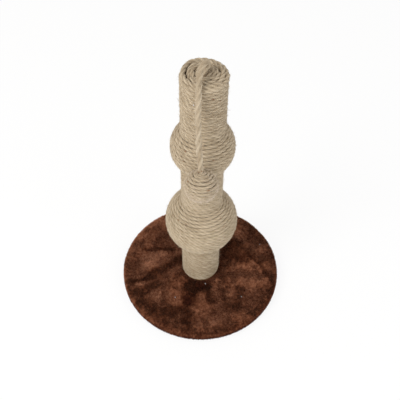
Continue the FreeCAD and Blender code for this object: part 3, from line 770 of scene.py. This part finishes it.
def add_loose_fibres(name, stretches, count, material, seed, rise=1.5):
    """Fibres that come out of a rope's strands, lie along them and stand off a little."""
    rng = np.random.default_rng(seed)
    sizes = np.array([len(s[0]) for s in stretches], float)
    paths, sides, widths = [], [], []
    for (line, outward, radius), share in zip(stretches, sizes / sizes.sum()):
        number = int(count * share)
        along, out, aside = rope_frames(line, outward)
        spot = rng.integers(2, len(line) - 2, number)
        angle = rng.normal(0, 0.75, number)
        spoke = out[spot] * np.cos(angle)[:, None] + aside[spot] * np.sin(angle)[:, None]
        round_about = np.cross(along[spot], spoke)
        slant = rng.normal(0.35, 0.3, number)
        way = rng.choice([-1.0, 1.0], number)[:, None]
        lead = unit(along[spot] + round_about * slant[:, None]) * way
        length = rng.uniform(3.5, 11.0, number)[:, None]
        lift = (rng.random(number) ** 2.2 * rise + 0.15)[:, None]
        bend = rng.normal(0, 0.22, number)[:, None]
        path = np.stack([
            line[spot] + spoke * (radius * 0.93)
            + lead * length * t + round_about * bend * length * t * t
            + spoke * (lift * (2.2 * t - 1.2 * t * t) - radius * 0.02)
            - out[spot] * (length * t) ** 2 * 0.012
            for t in (0.0, 0.35, 0.7, 1.0)
        ], 1)
        paths.append(path)
        wide = rng.uniform(0.14, 0.34, number)[:, None]
        widths.append(wide * (1.0, 0.95, 0.7, 0.0))
        roll = rng.uniform(-0.9, 0.9, number)[:, None]
        sides.append(unit(np.cross(lead, spoke) * np.cos(roll) + spoke * np.sin(roll)))
    paths, sides, widths = (np.concatenate(a) for a in (paths, sides, widths))
    facts = rng.random((len(paths), 2))
    return add_strips(name, paths, widths, sides, facts, material)


def add_fuzz(name, line, outward, radius, count, material, seed):
    """Fine hairs that stand straight out of a winding, mostly on its lower half."""
    rng = np.random.default_rng(seed)
    inner = np.arange(2, len(line) - 2)
    chance = 0.35 + np.clip(0.4 - outward[inner, 2], 0, 1)
    spot = rng.choice(inner, count, p=chance / chance.sum())
    way = unit(outward[spot] + rng.normal(0, 0.3, (count, 3)))
    bend = unit(np.cross(way, rng.normal(0, 1, (count, 3))))
    length = rng.uniform(1.3, 3.3, count)[:, None]
    root = line[spot] + outward[spot] * radius * 0.9 + bend * rng.uniform(0, 1.6, count)[:, None]
    paths = np.stack([
        root + way * length * t + bend * length * 0.35 * t * t for t in (0.0, 0.5, 1.0)
    ], 1)
    widths = rng.uniform(0.12, 0.22, count)[:, None] * (1.0, 0.8, 0.0)
    sides = unit(np.cross(way, bend))
    return add_strips(name, paths, widths, sides, rng.random((count, 2)), material)


def add_flecks(name, spots, material, seed):
    """Dark bits of husk that lie in the rope: place, direction and length of each."""
    rng = np.random.default_rng(seed)
    paths, sides = [], []
    for place, direction, length, out in spots:
        way, out = unit(np.array(direction, float)), unit(np.array(out, float))
        for _ in range(6):
            start = np.array(place) + rng.normal(0, 0.28, 3) + out * 0.35
            lead = unit(way + rng.normal(0, 0.12, 3)) * length * rng.uniform(0.35, 0.55)
            paths.append([start - lead, start + out * 0.3, start + lead])
            sides.append(unit(np.cross(way, out) + rng.normal(0, 0.2, 3)))
    facts = rng.random((len(paths), 2))
    return add_strips(name, np.array(paths), (0.6, 0.9, 0.0), np.array(sides), facts, material)


# ------------------------------------------------------------------------ the windings
def arc_points(centre, radius, first, last):
    steps = max(2, int(abs(last - first) * radius / FINE_STEP))
    return [
        (centre[0] + radius * cos(a), centre[1] + radius * sin(a))
        for a in np.linspace(first, last, steps)
    ]


def straight_points(start, end, steps=None):
    """Points along a straight line, a fine step apart where their number isn't given."""
    size = hypot(end[0] - start[0], end[1] - start[1])
    return [tuple(p) for p in np.linspace(start, end, steps or max(2, int(size / FINE_STEP)))]


class PostRope:
    """The one rope on the post: where it is at any distance up the post's outline."""

    def __init__(self):
        outline, self.stretches = [], []
        neck, top_of_neck, low = NECK_PATH_RADIUS, FIRST_TURN_HEIGHT, 0.0
        corner, rim_low = neck + NECK_FILLET, COIL_HEIGHT - RIM_ROUND
        for neck_name, ball_name, (height, path_radius) in (
            ("lower_neck_winding", "lower_ball_winding", LOWER_BALL),
            ("middle_neck_winding", "upper_ball_winding", UPPER_BALL),
        ):
            rise = sqrt((path_radius + NECK_FILLET) ** 2 - corner**2)
            turn = atan2(rise, corner)
            outline += straight_points((neck, top_of_neck), (neck, height - rise))
            ball_low = self.size(outline) - NECK_SHARE
            outline += arc_points((corner, height - rise), NECK_FILLET, pi, pi - turn)[1:]
            outline += arc_points((0, height), path_radius, -turn, turn)[1:]
            outline += arc_points((corner, height + rise), NECK_FILLET, pi + turn, pi)[1:]
            ball_high = self.size(outline) + NECK_SHARE
            self.stretches += [(neck_name, low, ball_low), (ball_name, ball_low, ball_high)]
            top_of_neck, low = height + rise, ball_high
        outline += straight_points((neck, top_of_neck), (neck, rim_low))
        self.rim = self.size(outline)
        outline += arc_points((neck - RIM_ROUND, rim_low), RIM_ROUND, 0, pi / 2)[1:]
        rim_middle = (self.rim + self.size(outline)) / 2
        inner_end = (COIL_INNER_RADIUS, COIL_HEIGHT)
        outline += straight_points((neck - RIM_ROUND, COIL_HEIGHT), inner_end)[1:]
        self.stretches += [
            ("upper_neck_winding", low, self.rim), ("top_coil", self.rim, self.size(outline))
        ]
        outline = np.array(outline)
        climb = lengths_along(outline)
        self.climb = np.linspace(0, climb[-1], 12000)
        self.radius = np.interp(self.climb, climb, outline[:, 0])
        self.height = np.interp(self.climb, climb, outline[:, 1])
        self.direction = unit(np.stack([
            np.gradient(self.radius, self.climb), np.gradient(self.height, self.climb)
        ], -1))
        pitch = np.where(abs(self.climb - rim_middle) < RIM_ZONE / 2, RIM_PITCH, TURN_PITCH)
        step = self.climb[1] - self.climb[0]
        self.angle = pi / 2 + summed(2 * pi * step / pitch[1:])
        self.distance = summed((np.hypot(2 * pi * self.radius / pitch, 1.0) * step)[1:])

    @staticmethod
    def size(outline):
        return lengths_along(np.array(outline))[-1]

    def line(self, low, high, step=1.3):
        """The rope between two distances up the outline.

        Gives its points, its outward directions, the distance along the rope at its first
        point and how much thicker it looks. The turns on top wander and bulge, the more so
        away from the rim.
        """
        first, last = np.interp([low, high], self.climb, self.distance)
        distance = np.linspace(first, last, int((last - first) / step) + 1)
        climb, radius, height, angle, out, up = (
            np.interp(distance, self.distance, values)
            for values in (self.climb, self.radius, self.height, self.angle, *self.direction.T)
        )
        on_top = np.clip((climb - self.rim + 6) / 12, 0, 1)
        edge = np.exp(-(((climb - self.rim - 2.4) / 7) ** 2))
        loose = on_top * (1 - 0.6 * edge)
        sway = drifts(distance, (0.17, 41, 5), (0.12, 15, 6))
        sway = sway + loose * drifts(distance, (1.3, 24, 31), (0.8, 10, 32), (0.5, 5, 36))
        stand = drifts(distance, (0.18, 33, 7), (0.08, 12, 8))
        stand = stand + loose * drifts(distance, (1.1, 19, 33), (0.6, 8, 34), (0.3, 5, 37))
        from_bump = (angle - BUMP_ANGLE + pi) % (2 * pi) - pi
        bump = BUMP_HEIGHT * on_top * np.exp(-((from_bump / BUMP_WIDTH) ** 2))
        stand = stand + bump - SUNK
        fuller = 1 + on_top * 0.10 + loose * 0.11 * drift(distance, 7, 35) + 0.13 * edge
        line = at_angle(angle, radius + out * sway + up * stand, height + up * sway - out * stand)
        return line, at_angle(angle, up, -out), first, fuller


def wind_post(rope_finish, fibre_finish, husk_finish):
    post_rope = PostRope()
    windings = []
    for name, low, high in post_rope.stretches:
        line, outward, start, fuller = post_rope.line(low, high)
        on_top = name == "top_coil"
        wound = add_rope(
            name.replace("_winding", "") + "_rope", line, outward, start, *POST_ROPE,
            rope_finish, 40, LOOSE_REACH if on_top else STRAND_REACH, (low == 0.0, on_top), fuller,
        )
        fit(wound, "post", "wound_rope", name)
        windings.append((line, outward, POST_FIBRE_ROOT))
    for name, members, count, seed in (
        ("lower_rope_fibres", windings[:2], LOWER_FIBRES, 61),
        ("upper_rope_fibres", windings[2:], UPPER_FIBRES, 62),
    ):
        fibres = add_loose_fibres(name, members, count, fibre_finish, seed)
        fit(fibres, "post", "wound_rope")
    flecks = add_flecks("post_flecks", POST_FLECKS, husk_finish, 66)
    fit(flecks, "post", "wound_rope")


# ---------------------------------------------------------------------------- the toy
def hang_toy(rope_finish, fibre_finish, fuzz_finish, husk_finish):
    line = spline_line(TOY_ROPE_ROUTE, 1.0)
    outward = steady_outward(line, TO_THE_FRONT)
    rope = add_rope("toy_rope", line, outward, 0.0, *TOY_ROPE, rope_finish, 90, TOY_REACH)
    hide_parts("toy_rope_lead", "toy_rope_drop")

    ball_line, ball_out = toy_winding_line()
    ball = add_rope(
        "toy_ball_rope", ball_line, ball_out, 0.0, *BALL_ROPE, rope_finish, 120, tips=(True, True)
    )
    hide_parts("toy_ball_winding")
    winding = [(ball_line, ball_out, BALL_FIBRE_ROOT)]
    fibres = add_loose_fibres("toy_ball_fibres", winding, BALL_FIBRES, fibre_finish, 63, rise=2.0)
    fuzz = add_fuzz(
        "toy_ball_fuzz", ball_line, ball_out, BALL_FUZZ_ROOT, BALL_FUZZ, fuzz_finish, 65
    )
    flecks = add_flecks("toy_flecks", TOY_FLECKS, husk_finish, 67)
    hanging = line[lengths_along(line) > HANGS_FROM]
    drop = [(hanging, steady_outward(hanging, TO_THE_FRONT), ROPE_FIBRE_ROOT)]
    rope_fibres = add_loose_fibres("toy_rope_fibres", drop, ROPE_FIBRES, fibre_finish, 64, rise=1.6)
    for piece in (rope, rope_fibres):
        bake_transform(piece)

    end_knot = add_knot("toy_end_knot", line[-1], 5.2, TOY_AXIS, 6.3, rope_finish, 130)
    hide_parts("toy_ball_knot")
    downward = np.array((0, 0, -1.0))
    inner_knot = add_knot("toy_inner_knot", line[0], 5.6, downward, 7.0, rope_finish, 140)
    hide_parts("toy_anchor_knot")
    for piece in (ball, fibres, fuzz, flecks, end_knot):
        fit(piece, "toy", "toy_rope")
    fit(inner_knot, "toy_lead", "toy_rope")


def toy_winding_line():
    """The rope round the toy ball, from its hole on top to its pocket below."""
    first = pi / 2 - asin(TOY_HOLE_RADIUS / TOY_PATH_RADIUS)
    last = -pi / 2 + asin(TOY_POCKET_RADIUS / TOY_PATH_RADIUS)
    closing = 1.15 * TOY_TURN_PITCH
    climb = np.linspace(-closing, TOY_PATH_RADIUS * (first - last), 9000)
    slope = first - np.maximum(climb, 0.12 * climb) / TOY_PATH_RADIUS
    angle = 2 * pi * climb / TOY_TURN_PITCH
    rough = lengths_along(at_angle(angle, np.cos(slope), np.sin(slope)) * TOY_PATH_RADIUS)
    wanted = np.linspace(0, rough[-1], int(rough[-1] / 1.1))
    slope, angle = np.interp(wanted, rough, slope), np.interp(wanted, rough, angle)
    slope = slope + drifts(wanted, (0.28, 26, 15), (0.18, 11, 16)) / TOY_PATH_RADIUS
    size = TOY_PATH_RADIUS + 0.28 * drift(wanted, 22, 17)
    out = at_angle(angle, np.cos(slope), np.sin(slope)) @ turned((0, 0, -1), TOY_AXIS)
    return out * size[:, None] + TOY_CENTRE, out


def turned(start, end):
    """The matrix that turns rows of points from one direction to another."""
    return np.array(Vector(start).rotation_difference(Vector(end)).to_matrix()).T


def add_knot(name, end, away, axis, reach, finish, seed):
    """An overhand knot of the toy's own rope, pulled tight at a distance from its end."""
    t = np.linspace(0, 2 * pi, 150)
    flat = np.stack([
        np.sin(t) + 2 * np.sin(2 * t), np.cos(t) - 2 * np.cos(2 * t), -1.35 * np.sin(3 * t)
    ], -1)
    radius = reach * 0.43
    line = flat / 3.0 * (reach - radius) @ turned((0, 0, 1), axis) + (end + axis * away)
    outward = steady_outward(line, axis + np.array((0.3, 0.2, 0.1)))
    return add_rope(name, line, outward, 0.0, radius, KNOT_TWIST, finish, seed)


# ------------------------------------------------------------------------ the plush base
def nap(x, y):
    """Painted sheen (+) or shade (-) of the brushed pile at a place on the base, about -1.5 to 1.
    """
    px = x + fields(x, y, (3.2, 17, 201), (1.6, 7, 202), (1.3, 3.2, 208))
    py = y + fields(x, y, (3.2, 17, 203), (1.6, 7, 204), (1.3, 3.2, 209))
    total = fields(x, y, (0.16, 30, 205), (0.14, 12, 206), (0.16, 6, 207))
    total = total * (1 - 0.4 * np.clip((x - 40) / 60, 0, 1))
    for strength, width, points in NAP_STROKES:
        nearest = np.full(np.shape(px), 1e9)
        for (ax, ay), (bx, by) in zip(points, points[1:]):
            dx, dy = bx - ax, by - ay
            share = np.clip(((px - ax) * dx + (py - ay) * dy) / (dx * dx + dy * dy), 0, 1)
            nearest = np.minimum(nearest, np.hypot(px - ax - dx * share, py - ay - dy * share))
        total = total + strength * np.exp(-((nearest / (0.62 * width)) ** 3.2))
    return total


def base_outline(share):
    """Half section of the plush's cloth, from the post's seat over the rim to under the board.

    share runs from 0 to 1. Gives the radius, the height, the two parts of the outward
    direction, and the length of the whole section.
    """
    top_end, low_end = CLOTH_TOP - CLOTH_CORNER, CLOTH_LOW + CLOTH_FOOT
    rim, foot = CLOTH_SIDE - CLOTH_CORNER, CLOTH_SIDE - CLOTH_FOOT
    outline = CLOTH_SEAT + straight_points((37.5, CLOTH_TOP), (rim, CLOTH_TOP), 60)
    outline += arc_points((rim, top_end), CLOTH_CORNER, pi / 2, 0)[::6]
    outline += straight_points((CLOTH_SIDE, top_end), (CLOTH_SIDE, low_end), 8)[1:]
    outline += arc_points((foot, low_end), CLOTH_FOOT, 0, -pi / 2)[::4]
    outline += straight_points((foot, CLOTH_LOW), (CLOTH_EDGE, CLOTH_LOW), 24)[1:]
    outline = np.array(outline)
    along = lengths_along(outline)
    radius, height, step_out, step_up = (
        np.interp(share * along[-1], along, values)
        for values in (*outline.T, *unit(np.gradient(outline, axis=0)).T)
    )
    out, up = unit(np.stack([-step_up, step_out], -1)).T
    return radius, height, out, up, along[-1]


def cloth_lift(x, y, radius):
    """Slow rise and fall of the cloth over the board, none at the post's seat."""
    return fields(x, y, (0.45, 46, 211), (0.22, 19, 212)) * np.clip((radius - 36) / 12, 0, 1)


def make_plush(pile, backing, lint):
    shares = np.linspace(0, 1, CLOTH_RINGS)
    *section, whole = base_outline(shares)
    radius, height, out, up = (values[:, None] for values in section)
    turn = np.linspace(0, 2 * pi, CLOTH_AROUND + 1)
    angle = turn[None, :-1]
    under = np.clip((-up - 0.3) / 0.6, 0, 1)
    pleats = 0.55 * np.abs(np.sin(angle * 22 + 1.1 * np.sin(angle * 5))) - 0.3
    lift = cloth_lift(radius * np.cos(angle), radius * np.sin(angle), radius) * (1 - under)
    lift = lift + under * pleats * np.clip((146 - radius) / 8, 0, 1)
    points = at_angle(angle, radius + out * lift, height + up * lift)
    tone = tone_sheen_and_shade_at(points)
    strand = np.stack([tone, np.full_like(tone, 0.3), np.zeros_like(tone)], -1)
    faces = [ring_quads(CLOTH_RINGS, CLOTH_AROUND)[..., [0, 3, 2, 1]]]
    seat = CLOTH_SEAT[0][0]
    reach = (shares * whole + seat) / (whole + seat) * 0.49
    sheet = at_angle(turn[None], reach[:, None], 0.0)[..., :2] + 0.5
    uv = np.stack([sheet[:-1, :-1], sheet[1:, :-1], sheet[1:, 1:], sheet[:-1, 1:]], 2)
    cloth = add_piece("plush_cloth", points, faces, backing, uv, strand=strand)
    fit(cloth, "post", "brown_plush", "plush_cover")
    for name, seed in (("plush_pile_a", 310), ("plush_pile_b", 320), ("plush_pile_c", 330)):
        fit(add_tufts(name, TUFTS, pile, seed), "post", "brown_plush")
    fit(add_lint(lint), "post", "brown_plush")


def tone_sheen_and_shade_at(points):
    """The pile's lightness from 0 to 1, on the top and round the rim, with painted sheen and shade.
    """
    x, y, z = np.moveaxis(points, -1, 0)
    distance = np.hypot(x, y)
    inside = np.minimum(distance, RIM_FROM) / np.maximum(distance, 1e-6)
    tone = nap(x * inside, y * inside)
    rim = np.clip((distance - RIM_FROM) / 6, 0, 1)
    crease_shade = np.exp(-(((distance - SHADED_CREASE) / 2.6) ** 2))
    front_shade = 0.5 + 0.5 * np.cos(np.arctan2(y, x) + radians(65))
    # Painted shade in the crease where the rim starts, and over the rim, most at the front.
    tone = tone * (1 - 0.4 * rim) - 0.4 * crease_shade * front_shade**1.5 - 0.9 * rim * front_shade
    side = np.clip((18 - z) / 10, 0, 1)
    clumps = fields(x, y + z, (0.17, 2.3, 213), (0.05, 4.4, 214))
    # Painted shade on the base's side, most at the front, and towards the right.
    tone = 0.545 - 0.0004 * x + 0.27 * tone + clumps - (0.08 + 0.16 * front_shade) * side
    return np.clip(tone, 0.0, 1.0)


def add_tufts(name, count, pile, seed):
    """Tufts of pile, each one blade, leaning the way that the plush was brushed."""
    rng = np.random.default_rng(seed)
    shares = np.linspace(0, 1, 1200)
    radius, _, _, up, _ = base_outline(shares)
    bare = (radius <= BARE_WITHIN) | ((up < -0.75) & (radius < 143))
    chance = np.cumsum(np.where(bare, 0.0, radius))
    picked = np.interp(rng.random(count) * chance[-1], chance, shares)
    radius, height, out, up, _ = base_outline(picked)
    angle = rng.random(count) * 2 * pi
    outwards, normal = at_angle(angle, 1.0, 0.0), at_angle(angle, out, up)
    x, y = outwards[:, 0] * radius, outwards[:, 1] * radius
    lift = cloth_lift(x, y, radius) * np.clip(up + 0.3, 0, 1)
    root = at_angle(angle, radius + out * lift, height + up * lift)
    tone = tone_sheen_and_shade_at(root)

    # The way that each tuft leans: brushed on top, down at the rim, away at the post.
    heading = fields(x, y, (2.6, 40, 221), (0.9, 13, 222), (0.9, 3.6, 223)) - 1.9
    brushed = at_angle(heading, 1.0, 0.0)
    side = np.clip(1 - up, 0, 1)[:, None]
    brushed = brushed * (1 - side) + (np.array((0, 0, -1.0)) * 0.8 + 0.35 * outwards) * side
    near_post = np.clip((PRESSED_WITHIN - radius) / 8, 0, 1)[:, None]
    brushed = brushed * (1 - near_post) + outwards * near_post
    brushed = brushed + rng.normal(0, 0.28, (count, 3))
    brushed = unit(brushed - normal * (brushed * normal).sum(1, keepdims=True))
    lean = 0.62 + 0.30 * (tone - 0.46) + 0.2 * field(x, y, 3.1, 224) + rng.normal(0, 0.16, count)
    lean = np.clip(lean, 0.15, 1.25)[:, None] * (1 - 0.6 * near_post)

    worn = (0.62 + 0.3 * field(x, y, 4.5, 225))[:, None]
    length = PILE_LENGTH * rng.uniform(0.72, 1.08, count)[:, None] * (1 - worn * near_post)
    path = [root]
    for bent in (0.75, 1.2):
        step = (normal * np.cos(lean * bent) + brushed * np.sin(lean * bent)) * length * 0.5
        path.append(path[-1] + step)
    for part in path[1:]:
        part[:, 2] = np.maximum(part[:, 2], 0.6)
        reach = np.hypot(part[:, 0], part[:, 1])
        part[:, :2] *= np.minimum(1, PILE_REACH / np.maximum(reach, 1e-6))[:, None]
    path[0] = root - normal * 0.5
    across = unit(np.cross(normal, brushed) + rng.normal(0, 0.35, (count, 3)))
    widths = rng.uniform(0.62, 1.0, count)[:, None] * (1.0, 0.85, 0.0)
    facts = np.stack([np.clip(tone + rng.normal(0, 0.09, count), 0, 1), rng.random(count)], -1)
    return add_strips(name, np.stack(path, 1), widths, across, facts, pile)


def add_lint(lint):
    """A few specks of pale lint on the plush and on the rope."""
    rng = np.random.default_rng(400)
    paths, sides = [], []
    for *place, size in LINT:
        for _ in range(12):
            way = unit(rng.normal(0, 1, 3) * np.array((1, 1, 0.35)))
            curl = unit(rng.normal(0, 1, 3)) * 0.35
            start = np.array(place) + rng.normal(0, 0.25, 3) * size
            half = way * size * 0.6
            paths.append([start - half, start + curl * size, start + half])
            sides.append(unit(np.cross(way, rng.normal(0, 1, 3))))
    paths, sides, facts = np.array(paths), np.array(sides), rng.random((len(paths), 2))
    return add_strips("lint_specks", paths, (0.6, 0.75, 0.0), sides, facts, lint)


def make_lining(finish):
    """The thin cloth glued under the base, over the turned-in plush."""
    rings, around = 60, 240
    radius = np.linspace(0.4, LINING_RADIUS, rings)[:, None]
    angle = (np.arange(around) / around * 2 * pi)[None]
    ragged = 1 + 0.004 * np.sin(angle * 9) + 0.003 * np.sin(angle * 23 + 1)
    radius = radius * np.where(radius > 110, ragged, 1.0)
    x, y = radius * np.cos(angle), radius * np.sin(angle)
    step = np.clip((radius - 108) / 4, 0, 1)
    z = LINING_HEIGHT + 0.12 * field(x, y, 21, 230) + 0.08 * field(x, y, 9, 231) - 0.12 * step
    faces = [ring_quads(rings, around), np.arange(around)[None]]
    sheet = np.stack([x, y], -1).reshape(-1, 2) / 250 + 0.5
    uv = sheet[np.concatenate([f.ravel() for f in faces])]
    lining = add_piece("lining", np.stack([x, y, z], -1), faces, finish, uv)
    fit(lining, "post", "lining_cloth", "underside_lining")


def finish_hard_parts():
    for finish, names in (
        (zinc_finish(), ["cover_staples", "post_bolt", "bolt_washer", "tee_nut",
                         "bottom_plug_nails", "top_plug_nails"]),
        (wood_finish(), ["bottom_plug", "top_plug"]),
        (foam_finish(), ["lower_ball_core", "upper_ball_core", "toy_ball_core"]),
        (fibreboard_finish(), ["base_board"]),
        (rubber_finish(), ["anti_slip_pads"]),
        (card_finish(), ["core_tube"]),
    ):
        for name in names:
            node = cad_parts[name]
            node.data.materials.clear()
            node.data.materials.append(finish)


# -------------------------------------------------------------------- camera and studio
def set_camera():
    camera = bpy.data.objects.new("camera", bpy.data.cameras.new("camera"))
    bpy.context.scene.collection.objects.link(camera)
    camera.data.sensor_width = 36.0
    camera.data.lens = CAMERA_LENS
    camera.data.shift_x = CAMERA_SHIFT
    camera.data.clip_start, camera.data.clip_end = 0.05, 20.0
    camera.location = CAMERA_PLACE
    aim = (Vector(CAMERA_AIM) - camera.location).to_track_quat("-Z", "Y")
    camera.rotation_mode = "QUATERNION"
    camera.rotation_quaternion = aim @ Quaternion((0, 0, 1), CAMERA_ROLL)
    bpy.context.scene.camera = camera


def set_studio():
    """White surroundings: white to the camera, softer as a light, with two lamps."""
    scene = bpy.context.scene
    scene.view_settings.view_transform = "Standard"
    scene.world = bpy.data.worlds.new("studio")
    scene.world.use_nodes = True
    room = Nodes(scene.world.node_tree)
    plain = room.tree.nodes["Background"]
    room.put(plain.inputs["Color"], ROOM_COLOUR)
    room.put(plain.inputs["Strength"], ROOM_LIGHT)
    white = room.node("ShaderNodeBackground", {}, {"Color": WHITE, "Strength": 1.0})
    room.end_with("World Output", room.in_sight(), Value(room, plain.outputs[0]), white)

    for name, place, size, power, colour in LAMPS:
        lamp = bpy.data.lights.new(name, "AREA")
        lamp.shape, lamp.size, lamp.energy, lamp.color = "DISK", size, power, colour
        holder = bpy.data.objects.new(name, lamp)
        holder.location = place
        aim = (Vector(LAMP_AIM) - Vector(place)).to_track_quat("-Z", "Y")
        holder.rotation_euler = aim.to_euler()
        scene.collection.objects.link(holder)

    corners = np.array([(-1, -1, 0), (1, -1, 0), (1, 1, 0), (-1, 1, 0)]) * 9000.0
    floor = add_piece("floor", corners, [np.array([[0, 1, 2, 3]])], floor_finish(), smooth=False)


def floor_finish():
    """White studio floor: it shows white to the camera and keeps the part's soft shadow."""
    finish = Finish(
        "studio_floor", roughness=1.0, specular_ior_level=0.0, base_color=(0.98, 0.98, 0.98, 1.0)
    )
    white = finish.node("ShaderNodeEmission", {}, {"Color": WHITE, "Strength": 1.0})
    share = finish.in_sight() * FLOOR_WHITE
    finish.end_with("Material Output", share, Value(finish, finish.shader.outputs[0]), white)
    return finish.material


# -------------------------------------------------------------------------- the whole
set_camera()
# The last colour given to sisal is the painted shade in its grooves.
toy_finish = sisal("toy_sisal", (214, 199, 175), (191, 174, 148), (148, 127, 100), (96, 73, 47))
wound_finish = sisal(
    "wound_sisal", (211, 195, 169), (188, 171, 145), (150, 130, 101), (98, 75, 50)
)
fibre_finish = loose_fibre("sisal_fibre", (212, 198, 174), (185, 168, 140), (112, 72, 46))
# The fuzz is real, and its near-white colour is a painted highlight of light from behind.
fuzz_finish = loose_fibre("pale_fuzz", (236, 224, 214), (222, 207, 192), (206, 190, 172))
husk_finish = loose_fibre("brown_husk", (160, 122, 92), (122, 86, 60), (90, 62, 42))
hang_toy(toy_finish, fibre_finish, fuzz_finish, husk_finish)
wind_post(wound_finish, fibre_finish, husk_finish)
make_plush(pile_finish(), backing_finish(), lint_finish())
make_lining(lining_finish())
finish_hard_parts()
set_studio()
